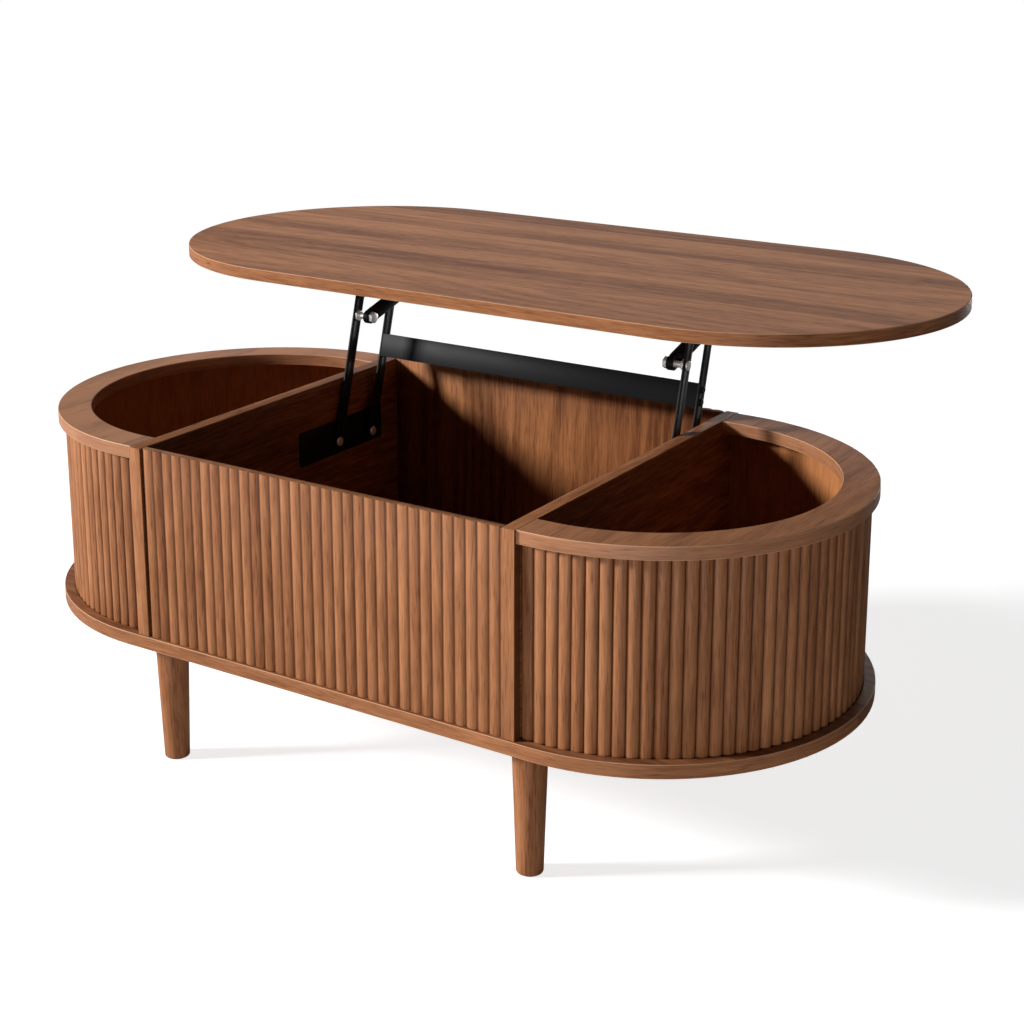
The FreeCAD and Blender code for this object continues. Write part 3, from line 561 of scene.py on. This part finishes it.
def panel_material():
    """Strips of upright grain on the rounds, painted shade between them, and one plain veneer inside."""
    material, tree, shader = material_with_shader("walnut_flutes")
    split = tree.nodes.new("ShaderNodeSeparateXYZ")
    link(tree, object_spot(tree), split.inputs[0])
    count = maths(tree, "DIVIDE", maths(tree, "ADD", split.outputs["X"], PANEL_HALF), FLUTE_PITCH)
    strip = tree.nodes.new("ShaderNodeTexWhiteNoise")
    strip.noise_dimensions = "1D"
    link(tree, maths(tree, "FLOOR", count), strip.inputs["W"])
    flutes = placed(tree, WALNUT, Bands=0.6, Streaks=0.35, Fibres=0.9, Arches=0.03, Mottle=0.6)
    upright = grain_along(tree, "ZXY", shift=(0.5, 0.3, 0.8))
    link(tree, strip_of_its_own(tree, upright, strip.outputs["Value"]), flutes.inputs["Along"])
    drift = maths(tree, "ADD", maths(tree, "MULTIPLY", split.outputs["X"], TONE_DRIFT), FLUTE_TONE)
    link(tree, maths(tree, "ADD", maths(tree, "MULTIPLY", strip.outputs["Value"], STRIP_TONE), drift),
         flutes.inputs["Tone"])
    inside = placed(tree, WALNUT, Tone=0.36, Light=INSIDE_LIGHT, Streaks=0.8, Fibres=1.1, Arches=0.17,
                    Leaf_contrast=0.26, Leaf_width=0.062)
    link(tree, grain_along(tree, "ZXY", shift=(0.1, 0.6, 0.2)), inside.inputs["Along"])
    depth = maths(tree, "ABSOLUTE", maths(tree, "SUBTRACT", split.outputs["Y"], MIDDLE_Y))
    is_inside = maths(tree, "LESS_THAN", depth, PANEL_CREST - FLUTE_RISE - PANEL_BACK + MERGE)
    two_grains(tree, shader, is_inside, flutes, inside)
    below_crest = maths(tree, "SUBTRACT", PANEL_CREST, depth)
    elsewhere = maths(tree, "MAXIMUM", is_inside, facing(tree, "Z"))
    below_crest = maths(tree, "MULTIPLY", below_crest, maths(tree, "SUBTRACT", 1.0, elsewhere))
    painted_groove_shade(tree, shader, below_crest, FLUTE_RISE)
    return material


front = round_front("front_fluted_panel", FLUTE_PITCH, FLUTE_RISE, FLUTE_PITCH / 2 - PANEL_HALF,
                    MIDDLE_Y - PANEL_CREST, CABINET_FLOOR)
apply_modifier(front, "ARRAY", count=FLUTE_COUNT, use_relative_offset=False, use_constant_offset=True,
               constant_offset_displace=(FLUTE_PITCH, 0, 0))
start_edit(front)
bpy.ops.mesh.remove_doubles(threshold=MERGE)
end_edit()
upright_board(front, PANEL_HALF, PANEL_BACK, CABINET_HEIGHT, RABBET_DEPTH, RABBET_WIDTH)
ease(front, ARRIS, FLUTE_SHARP_ANGLE)
back = front.copy()
back.data = front.data.copy()
back.name = "back_fluted_panel"
bpy.context.scene.collection.objects.link(back)
start_edit(back)
bpy.ops.transform.rotate(value=math.pi, orient_axis="Z", center_override=(0, MIDDLE_Y, 0))
end_edit()
FLUTED_WOOD = panel_material()
stands_for(front, "cabinet", "walnut_fluted", FLUTED_WOOD, "front_panel")
stands_for(back, "cabinet", "walnut_fluted", FLUTED_WOOD, "back_panel")


# Curved end walls: fifty-five slats side by side on a bent backing, let into grooves below and above.
# Slats and backing are veneered with upright grain, each slat from its own strip.
SLAT_COUNT = 55
SLAT_RISE = 0.0028
SLAT_SHOULDER = 0.0026
SLAT_GAP = 0.0003
SLAT_ARRIS = 0.0003
WALL_START_X = 0.2594
WALL_RADIUS = 0.2338
WALL_BOTTOM = 0.164
WALL_HEIGHT = 0.2216
SLAT_TONE = 0.46
SLAT_CUT = (0.8, 0.2, 0.6)
STRIP_SEED = 21
BACKING_TONE = 0.86
BACKING_CUT = (0.1, 0.6, 0.2)


def upright_material(name, tone, shift, light=VENEER_LIGHT):
    """Wood with upright grain; gives the material, its tree, its shader and its grain."""
    material, tree, shader = material_with_shader(name)
    grain = placed(tree, WALNUT, Tone=tone, Light=light, Bands=0.7, Streaks=0.45, Fibres=0.9, Arches=0.04,
                   Mottle=0.6)
    link(tree, grain_along(tree, "ZXY", shift), grain.inputs["Along"])
    lacquered(tree, shader, grain.outputs["Colour"], grain.outputs["Roughness"], grain.outputs["Height"])
    return material, tree, shader, grain


def slat_material():
    """Upright grain with each slat's own tone and cut, and painted shade between the slats."""
    material, tree, shader, grain = upright_material("walnut_slats", SLAT_TONE, SLAT_CUT)
    strip = tree.nodes.new("ShaderNodeAttribute")
    strip.attribute_name = "strip"
    own_tone = maths(tree, "MULTIPLY", strip.outputs["Fac"], STRIP_TONE)
    link(tree, maths(tree, "ADD", own_tone, SLAT_TONE), grain.inputs["Tone"])
    along = grain.inputs["Along"].links[0].from_socket
    link(tree, strip_of_its_own(tree, along, strip.outputs["Fac"]), grain.inputs["Along"])
    run = placed(tree, EDGE_RUN, Radius=WALL_RADIUS)
    link(tree, object_spot(tree), run.inputs["Position"])
    crest = WALL_RADIUS + SLAT_SHOULDER + SLAT_RISE
    below_crest = maths(tree, "SUBTRACT", crest, run.outputs["Reach"])
    painted_groove_shade(tree, shader, below_crest, SLAT_RISE)
    return material


def joined(name, pieces):
    """Several pieces made one, with their places in the mesh."""
    bpy.ops.object.select_all(action="DESELECT")
    for piece in pieces:
        piece.select_set(True)
    bpy.context.view_layer.objects.active = pieces[0]
    bpy.ops.object.join()
    whole = bpy.context.object
    whole.name = name
    settle(whole)
    return whole


def copy_of(model, place, turn):
    """A copy with its own mesh, placed and turned."""
    piece = model.copy()
    piece.data = model.data.copy()
    piece.location = place
    piece.rotation_euler = turn
    bpy.context.scene.collection.objects.link(piece)
    return piece


straight_run = END_CENTRE_X - WALL_START_X
slat_pitch = (2 * straight_run + math.pi * WALL_RADIUS) / SLAT_COUNT
slat_half = (slat_pitch - SLAT_GAP) / 2
slat = round_front("slat", 2 * slat_half, SLAT_RISE, 0, -SLAT_SHOULDER - SLAT_RISE, WALL_BOTTOM)
upright_board(slat, slat_half, SLAT_SHOULDER, WALL_HEIGHT)
ease(slat, SLAT_ARRIS)
SLAT_WOOD = slat_material()
strips = random.Random(STRIP_SEED)
for side, half_turn in (("right", 0.0), ("left", math.pi)):
    slats = []
    for i in range(SLAT_COUNT):
        way = (i + 0.5) * slat_pitch
        turn = min(max((way - straight_run) / WALL_RADIUS, 0.0), math.pi)
        before = min(way, straight_run)
        after = max(way - straight_run - math.pi * WALL_RADIUS, 0.0)
        x = WALL_START_X + before - after + WALL_RADIUS * math.sin(turn)
        y = -WALL_RADIUS * math.cos(turn)
        sign = math.cos(half_turn)
        piece = copy_of(slat, (sign * x, MIDDLE_Y + sign * y, 0), (0, 0, turn + half_turn))
        strip = piece.data.attributes.new("strip", "FLOAT", "POINT")
        strip.data.foreach_set("value", [strips.random()] * len(piece.data.vertices))
        slats.append(piece)
    wall = joined(side + "_wall_slats", slats)
    stands_for(wall, "cabinet", "walnut_fluted", SLAT_WOOD, side + "_end_slats")
bpy.data.objects.remove(slat)
BACKING_WOOD = upright_material("walnut_backing", BACKING_TONE, BACKING_CUT, INSIDE_LIGHT)[0]
coat(BACKING_WOOD, "left_end_backing", "right_end_backing")


# End rings: C-shaped rims over the end walls, grooved below for them and doweled to the partitions.
# The veneer on top runs front to back; the inner and outer edges are banded.
RING_RADIUS = 0.247
RING_INNER_RADIUS = 0.207
RING_TONES = (0.87, 0.70)
RING_CUT = (0.9, 0.4, 0.3)
RING_SHINE = 0.46
RING_PALER = 1.08
RING_WOOD = board_material("walnut_ring", "YXZ", RING_RADIUS, MIDDLE_Y, RING_TONES, RING_CUT, RING_SHINE,
                           RING_INNER_RADIUS, RING_PALER)
coat(RING_WOOD, "left_end_ring", "right_end_ring")


# Dowels: beech pins glued into the panels, the rings and the partitions.
# They are raw wood, and hold the boards' joints from within.
BEECH_LIGHT = (0.62, 0.42, 0.24, 1)
BEECH_DARK = (0.42, 0.26, 0.13, 1)


def raw_beech():
    """Pale wood with the same kind of grain along the pin, and no lacquer's gloss."""
    material, tree, shader = material_with_shader("raw_beech")
    grain = placed(tree, WALNUT, Light=BEECH_LIGHT, Dark=BEECH_DARK, Gloss=0.62)
    link(tree, grain_along(tree, "XYZ"), grain.inputs["Along"])
    lacquered(tree, shader, grain.outputs["Colour"], grain.outputs["Roughness"], grain.outputs["Height"])
    return material


coat(raw_beech(), "panel_dowels", "ring_dowels")


# Leg plates: square plates of sheet steel, screwed under the base and powder-coated black.
# The coat has a fine orange peel and is a little uneven in its gloss.
SHEET_EDGE = 0.0004
COAT_DARK = (0.005, 0.005, 0.0055, 1)
COAT_LIGHT = (0.010, 0.010, 0.0105, 1)
COAT_ROUGH = 0.40
COAT_ROUGH_DRIFT = 0.12
COAT_SHINE = 0.13
PEEL_BUMP = 0.10
PEEL_DEPTH = 0.0001


def powder_coat():
    """Black paint with clouds in its gloss and a fine peel."""
    material, tree, shader = material_with_shader("black_steel")
    peel = noise(tree, object_spot(tree), scale=(900, 900, 900), detail=1.0)
    cloud = noise(tree, object_spot(tree), scale=(14, 14, 14), detail=3.0)
    link(tree, colour_mix(tree, cloud, COAT_DARK, COAT_LIGHT), shader.inputs["Base Color"])
    clouded = maths(tree, "MULTIPLY", cloud, COAT_ROUGH_DRIFT)
    link(tree, maths(tree, "ADD", clouded, COAT_ROUGH), shader.inputs["Roughness"])
    shader.inputs["Specular IOR Level"].default_value = COAT_SHINE
    bump = tree.nodes.new("ShaderNodeBump")
    bump.inputs["Strength"].default_value = PEEL_BUMP
    bump.inputs["Distance"].default_value = PEEL_DEPTH
    link(tree, peel, bump.inputs["Height"])
    link(tree, bump.outputs[0], shader.inputs["Normal"])
    return material


BLACK = powder_coat()
CORNERS = ("front_left", "front_right", "back_left", "back_right")
for corner in CORNERS:
    plate = eased_copy(corner + "_plate", corner + "_leg_plate", SHEET_EDGE)
    stands_for(plate, "cabinet", "black_steel", BLACK, corner + "_leg_plate")


# Legs: four posts of solid walnut, turned to a taper with a softened foot.
# Their grain runs upright, and each is screwed up into its plate.
LEG_HEIGHT = 0.147
LEG_TOP = 0.0195
LEG_FOOT = 0.01475
FOOT_ROUND = 0.002
LEG_X = 0.250
LEG_Y = 0.205
LEG_TONE = 0.46
LEG_CUT = (0.3, 0.7, 0.9)
LEG_FACETS = 72
LEG_WOOD = upright_material("walnut_leg", LEG_TONE, LEG_CUT)[0]
for corner in CORNERS:
    x = LEG_X if "right" in corner else -LEG_X
    y = MIDDLE_Y + (LEG_Y if "back" in corner else -LEG_Y)
    bpy.ops.object.select_all(action="DESELECT")
    bpy.ops.mesh.primitive_cone_add(vertices=LEG_FACETS, radius1=LEG_FOOT, radius2=LEG_TOP, depth=LEG_HEIGHT,
                                    location=(x, y, LEG_HEIGHT / 2))
    leg = bpy.context.object
    leg.name = corner + "_turned_leg"
    settle(leg)
    start_edit(leg)
    select_by(leg, lambda place: place.z < MERGE)
    bpy.ops.mesh.bevel(offset=FOOT_ROUND, segments=4, affect="EDGES")
    select_by(leg, lambda place: place.z > LEG_HEIGHT - MERGE)
    bpy.ops.mesh.bevel(offset=ARRIS, segments=2, affect="EDGES")
    end_edit()
    bpy.ops.object.shade_smooth_by_angle(angle=SMOOTH_ANGLE)
    stands_for(leg, "cabinet", "walnut_leg", LEG_WOOD, corner + "_leg")


# Wood screws and bolts under the table: countersunk, with a cross recess, in bright zinc-plated steel.
# Six hold the base to the partitions, and four hold each leg plate.
ZINC_DULL = (0.78, 0.77, 0.75, 1)
ZINC_BRIGHT = (0.90, 0.89, 0.87, 1)
ZINC_ROUGH = 0.34
ZINC_ROUGH_DRIFT = 0.20
ZINC_METAL = 0.55
SHANK_FACETS = 24
TIP_SHARE = 0.4
DOME_STEPS = ((0.45, 1.0), (0.40, 0.82), (0.15, 0.70))
RECESS_LENGTH = 0.56
RECESS_WIDTH = 0.13
RECESS_DEPTH = 1.1
RECESS_TAPER = 0.6
SCREW_SMOOTH_ANGLE = math.radians(30)
HEAD_DOWN = (math.pi, 0, 0)
PLATE_HOLE = 0.023
BASE_SCREW_X = 0.251
BASE_SCREWS_Y = (-0.12, 0.0, 0.12)


def zinc_plate():
    """Pale silvery metal with dull and bright clouds."""
    material, tree, shader = material_with_shader("zinc_steel")
    cloud = noise(tree, object_spot(tree), scale=(160, 160, 160), detail=3.0)
    link(tree, colour_mix(tree, cloud, ZINC_DULL, ZINC_BRIGHT), shader.inputs["Base Color"])
    clouded = maths(tree, "MULTIPLY", cloud, ZINC_ROUGH_DRIFT)
    link(tree, maths(tree, "ADD", clouded, ZINC_ROUGH), shader.inputs["Roughness"])
    shader.inputs["Metallic"].default_value = ZINC_METAL
    return material


def cross_screw(head, head_height, shank, length, countersunk):
    """A screw at the origin with its head's seat up: shank below, head above, a cross cut into the head."""
    bpy.ops.object.select_all(action="DESELECT")
    shank_top = -head_height if countersunk else 0.0
    shank_length = length + shank_top
    bpy.ops.mesh.primitive_cylinder_add(vertices=SHANK_FACETS, radius=shank / 2, depth=shank_length,
                                        location=(0, 0, shank_top - shank_length / 2))
    screw = bpy.context.object
    settle(screw)
    start_edit(screw)
    select_by(screw, lambda place: place.z < shank_top - shank_length + MERGE)
    bpy.ops.transform.resize(value=(TIP_SHARE, TIP_SHARE, 1), center_override=(0, 0, -length))
    select_by(screw, lambda place: place.z > shank_top - MERGE)
    steps = [(head_height if countersunk else 0.0, head / shank)]
    if not countersunk:
        steps += [(head_height * share, spread) for share, spread in DOME_STEPS]
    level = shank_top
    for rise, spread in steps:
        bpy.ops.mesh.extrude_region_move(TRANSFORM_OT_translate={"value": (0, 0, rise)})
        level += rise
        bpy.ops.transform.resize(value=(spread, spread, 1), center_override=(0, 0, level))
    end_edit()
    for turn in (0, math.pi / 2):
        bpy.ops.object.select_all(action="DESELECT")
        bpy.ops.mesh.primitive_cube_add(size=1, location=(0, 0, level), rotation=(0, 0, turn))
        blade = bpy.context.object
        blade.scale = (head * RECESS_LENGTH, head * RECESS_WIDTH, head_height * RECESS_DEPTH)
        settle(blade)
        start_edit(blade)
        select_by(blade, lambda place: place.z < level)
        bpy.ops.transform.resize(value=(RECESS_TAPER, RECESS_TAPER, 1), center_override=(0, 0, level))
        end_edit()
        apply_modifier(screw, "BOOLEAN", operation="DIFFERENCE", object=blade, solver="EXACT")
        bpy.data.objects.remove(blade)
    return screw


def screws_at(name, model, spots, turns):
    """Copies of a screw at their places, as one piece."""
    whole = joined(name, [copy_of(model, place, turn) for place, turn in zip(spots, turns)])
    bpy.data.objects.remove(model)
    bpy.ops.object.shade_smooth_by_angle(angle=SCREW_SMOOTH_ANGLE)
    return whole


ZINC = zinc_plate()
plate_screw = cross_screw(head=0.008, head_height=0.0025, shank=0.004, length=0.017, countersunk=True)
plate_spots = [(sx * LEG_X + i * PLATE_HOLE, MIDDLE_Y + sy * LEG_Y + j * PLATE_HOLE, LEG_HEIGHT)
               for sx in (1, -1) for sy in (1, -1) for i in (1, -1) for j in (1, -1)]
screws = screws_at("plate_cross_screws", plate_screw, plate_spots, [HEAD_DOWN] * len(plate_spots))
stands_for(screws, "cabinet", "zinc_steel", ZINC, "leg_plate_screws")
base_screw = cross_screw(head=0.009, head_height=0.004, shank=0.005, length=0.050, countersunk=True)
base_spots = [(sx * BASE_SCREW_X, MIDDLE_Y + y, base_low.z) for sx in (1, -1) for y in BASE_SCREWS_Y]
screws = screws_at("base_cross_screws", base_screw, base_spots, [HEAD_DOWN] * len(base_spots))
stands_for(screws, "cabinet", "zinc_steel", ZINC, "base_screws")
coat(ZINC, "leg_hanger_bolts")


# Base brackets: black steel plates screwed to the partitions' inner faces, which carry the lower pivots.
# The screws are black; each arm turns on a silver rivet, with a black washer and bush behind it.
bracket_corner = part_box("right_base_bracket")[0]
BRACKET_SCREWS = ((0.0085, 0.0085), (0.0375, 0.0085), (0.1065, 0.0085), (0.1065, 0.0360),
                  (0.1605, 0.0085), (0.1605, 0.0360))
for side in ("left", "right"):
    plate = eased_copy(side + "_bracket_plate", side + "_base_bracket", SHEET_EDGE)
    stands_for(plate, "cabinet", "black_steel", BLACK, side + "_base_bracket")
spots = [(sign * bracket_corner.x, bracket_corner.y + along, bracket_corner.z + up)
         for sign in (1, -1) for along, up in BRACKET_SCREWS]
turns = [(0, -sign * math.pi / 2, 0) for sign in (1, -1) for _ in BRACKET_SCREWS]
bracket_screw = cross_screw(head=0.007, head_height=0.002, shank=0.0035, length=0.0145, countersunk=False)
screws = screws_at("bracket_cross_screws", bracket_screw, spots, turns)
stands_for(screws, "cabinet", "zinc_steel", BLACK, "base_bracket_screws")
coat(ZINC, "lower_pivot_rivets")
coat(BLACK, "lower_pivot_washers", "rear_pivot_bushes")


# Folding arms: flat black steel bars with round ends, two on each side, that turn on the base brackets.
# A crossbar ties the rear pair; its ends are bent back as tabs and riveted, and the rivets are coated too.
for side in ("left", "right"):
    for place in ("front", "rear"):
        arm = eased_copy(f"{side}_{place}_arm_bar", f"{side}_{place}_arm", SHEET_EDGE)
        stands_for(arm, place + "_arms", "black_steel", BLACK, f"{side}_{place}_arm")
bar = eased_copy("rear_crossbar", "crossbar", SHEET_EDGE)
stands_for(bar, "rear_arms", "black_steel", BLACK, "crossbar")
coat(BLACK, "crossbar_rivets")


# Lift-assist struts: black tubes with chromed piston rods between the front arms and the top brackets.
# Each tube's eye turns on a silver hexagon bolt with a nut, each rod's eye on a pin.
BARREL_EDGE = 0.0005
CHROME_DARK = (0.56, 0.56, 0.58, 1)
CHROME_LIGHT = (0.68, 0.68, 0.70, 1)
CHROME_ROUGH = 0.08
CHROME_ROUGH_DRIFT = 0.10


def chrome_plate():
    """Bright metal, a little uneven."""
    material, tree, shader = material_with_shader("chrome_rod")
    cloud = noise(tree, object_spot(tree), scale=(60, 60, 60), detail=2.0)
    link(tree, colour_mix(tree, cloud, CHROME_DARK, CHROME_LIGHT), shader.inputs["Base Color"])
    clouded = maths(tree, "MULTIPLY", cloud, CHROME_ROUGH_DRIFT)
    link(tree, maths(tree, "ADD", clouded, CHROME_ROUGH), shader.inputs["Roughness"])
    shader.inputs["Metallic"].default_value = 1.0
    return material


for side in ("left", "right"):
    tube = eased_copy(side + "_strut_barrel", side + "_strut_tube", BARREL_EDGE)
    stands_for(tube, "strut_tubes", "black_steel", BLACK, side + "_strut_tube")
for name, node in (("strut_hex_bolts", "strut_bolts"), ("strut_hex_nuts", "strut_nuts")):
    stands_for(eased_copy(name, node, BARREL_EDGE), "front_arms", "zinc_steel", ZINC, node)
coat(chrome_plate(), "left_strut_rod", "right_strut_rod")
coat(ZINC, "strut_pins")


# Top brackets: black steel angles with lugs for the upper pivots, screwed up into the underside of the top.
# Their screws have round heads with a cross recess; rivets with washers join them to the arms.
angle_low, angle_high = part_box("right_top_bracket")
FLANGE_THICK = 0.0025
FLANGE_SCREW_X = angle_low.x + 0.01175
FLANGE_SCREW_SHARES = (0.08, 0.36, 0.64, 0.92)
flange_length = angle_high.y - angle_low.y
flange_bottom = angle_high.z - FLANGE_THICK
for side in ("left", "right"):
    angle = eased_copy(side + "_bracket_angle", side + "_top_bracket", SHEET_EDGE)
    stands_for(angle, "lift_top", "black_steel", BLACK, side + "_top_bracket")
spots = [(sign * FLANGE_SCREW_X, angle_low.y + share * flange_length, flange_bottom)
         for sign in (1, -1) for share in FLANGE_SCREW_SHARES]
top_screw = cross_screw(head=0.007, head_height=0.002, shank=0.0035, length=0.0125, countersunk=False)
screws = screws_at("top_cross_screws", top_screw, spots, [HEAD_DOWN] * len(spots))
stands_for(screws, "lift_top", "zinc_steel", ZINC, "top_bracket_screws")
coat(ZINC, "upper_pivot_rivets", "upper_pivot_washers")


# Tabletop: a veneered stadium like the base, carried by the brackets of the lift.
# Its leaves of veneer lie side by side along the table, and its edge is banded.
top_low, top_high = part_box("tabletop")
TOP_RADIUS = (top_high.y - top_low.y) / 2
TOP_MIDDLE_Y = (top_low.y + top_high.y) / 2
TOP_TONES = (0.56, 0.46)
TOP_CUT = (0.05, 0.61, 0.55)
TOP_SHINE = 0.07
TOP_PALER = 1.40
TOP_WOOD = board_material("walnut_top", "XYZ", TOP_RADIUS, TOP_MIDDLE_Y, TOP_TONES, TOP_CUT, TOP_SHINE,
                          paler=TOP_PALER)
coat(TOP_WOOD, "tabletop")


# Stage: a pale floor that keeps the table's shadow and fades into a white surround.
# A soft key light stands at the front left, a weak fill at the front right and a low rim light behind.
# A faint wide light behind gives the top its sheen, and the room adds little.
FLOOR_SIZE = 14
FLOOR_DROP = 0.0005
FLOOR_GREY = (0.62, 0.62, 0.62, 1)
FLOOR_GLOW = 0.78
FADE_START = 0.7
FADE_END = 2.2
ROOM_LIGHT = 0.02
MIRRORED_LIGHT = 0.30
bpy.ops.mesh.primitive_plane_add(size=FLOOR_SIZE, location=(0, 0, -FLOOR_DROP))
floor = bpy.context.object
floor.name = "floor"
material, tree, shader = material_with_shader("pale_floor")
shader.inputs["Base Color"].default_value = FLOOR_GREY
shader.inputs["Roughness"].default_value = 0.9
shader.inputs["Specular IOR Level"].default_value = 0.0
ray = tree.nodes.new("ShaderNodeLightPath")
glow = tree.nodes.new("ShaderNodeEmission")
lit = tree.nodes.new("ShaderNodeAddShader")
link(tree, shader.outputs[0], lit.inputs[0])
link(tree, glow.outputs[0], lit.inputs[1])
seen = ray.outputs["Is Camera Ray"]
link(tree, maths(tree, "MULTIPLY", seen, FLOOR_GLOW), glow.inputs["Strength"])
white = tree.nodes.new("ShaderNodeEmission")
white.inputs["Strength"].default_value = 1.0
spot = tree.nodes.new("ShaderNodeTexCoord")
reach = tree.nodes.new("ShaderNodeVectorMath")
reach.operation = "LENGTH"
link(tree, spot.outputs["Object"], reach.inputs[0])
fade = tree.nodes.new("ShaderNodeMapRange")
fade.interpolation_type = "SMOOTHSTEP"
fade.inputs["From Min"].default_value = FADE_START
fade.inputs["From Max"].default_value = FADE_END
link(tree, reach.outputs["Value"], fade.inputs["Value"])
blend = tree.nodes.new("ShaderNodeMixShader")
link(tree, maths(tree, "MULTIPLY", fade.outputs[0], seen), blend.inputs[0])
link(tree, lit.outputs[0], blend.inputs[1])
link(tree, white.outputs[0], blend.inputs[2])
link(tree, blend.outputs[0], tree.nodes["Material Output"].inputs["Surface"])
floor.data.materials.append(material)

world = bpy.data.worlds.new("white_room")
bpy.context.scene.world = world
world.use_nodes = True
sky = world.node_tree
ray = sky.nodes.new("ShaderNodeLightPath")
seen = maths(sky, "MAXIMUM", ray.outputs["Is Camera Ray"],
             maths(sky, "MULTIPLY", ray.outputs["Is Glossy Ray"], MIRRORED_LIGHT))
link(sky, maths(sky, "MAXIMUM", seen, ROOM_LIGHT), sky.nodes["Background"].inputs["Strength"])
sky.nodes["Background"].inputs["Color"].default_value = (1, 1, 1, 1)


def softbox(name, place, aim, width, height, power):
    """A rectangular lamp that faces its aim and that the camera doesn't see."""
    lamp = bpy.data.lights.new(name, "AREA")
    lamp.shape = "RECTANGLE"
    lamp.size = width
    lamp.size_y = height
    lamp.energy = power
    holder = bpy.data.objects.new(name, lamp)
    bpy.context.scene.collection.objects.link(holder)
    holder.location = place
    holder.visible_camera = False
    holder.rotation_euler = (Vector(aim) - Vector(place)).to_track_quat("-Z", "Y").to_euler()


softbox("key", place=(-5.93, -4.64, 3.24), aim=(0, -0.1, 0.3), width=1.28, height=1.28, power=965)
softbox("fill", place=(1.4, -3.7, 0.28), aim=(0, -0.1, 0.25), width=1.8, height=0.5, power=46)
softbox("rim", place=(-0.2, 3.9, 0.19), aim=(0, -0.1, 0.25), width=2.4, height=0.36, power=60)
softbox("sheen", place=(-2.1, 4.25, 2.3), aim=(0, -0.1, 0.4), width=3.6, height=1.2, power=13)


# Camera: stands to the table as the photograph does, at the front right and a little above.
# A small lens shift keeps the uprights nearly upright and leaves the table in view from other sides.
VIEW_AZIMUTH = math.radians(32.775)
VIEW_ELEVATION = math.radians(14.370)
CAMERA_PLACE = (1.1919, -1.8258, 1.0134)
SENSOR_WIDTH = 36
FOCAL_LENGTH = 65.196
LENS_SHIFT = -0.15
lens = bpy.data.cameras.new("camera")
lens.sensor_width = SENSOR_WIDTH
lens.lens = FOCAL_LENGTH
lens.shift_y = LENS_SHIFT
camera = bpy.data.objects.new("camera", lens)
bpy.context.scene.collection.objects.link(camera)
camera.location = CAMERA_PLACE
camera.rotation_euler = (math.pi / 2 - VIEW_ELEVATION, 0, VIEW_AZIMUTH)
bpy.context.scene.camera = camera
bpy.context.scene.view_settings.view_transform = "Standard"
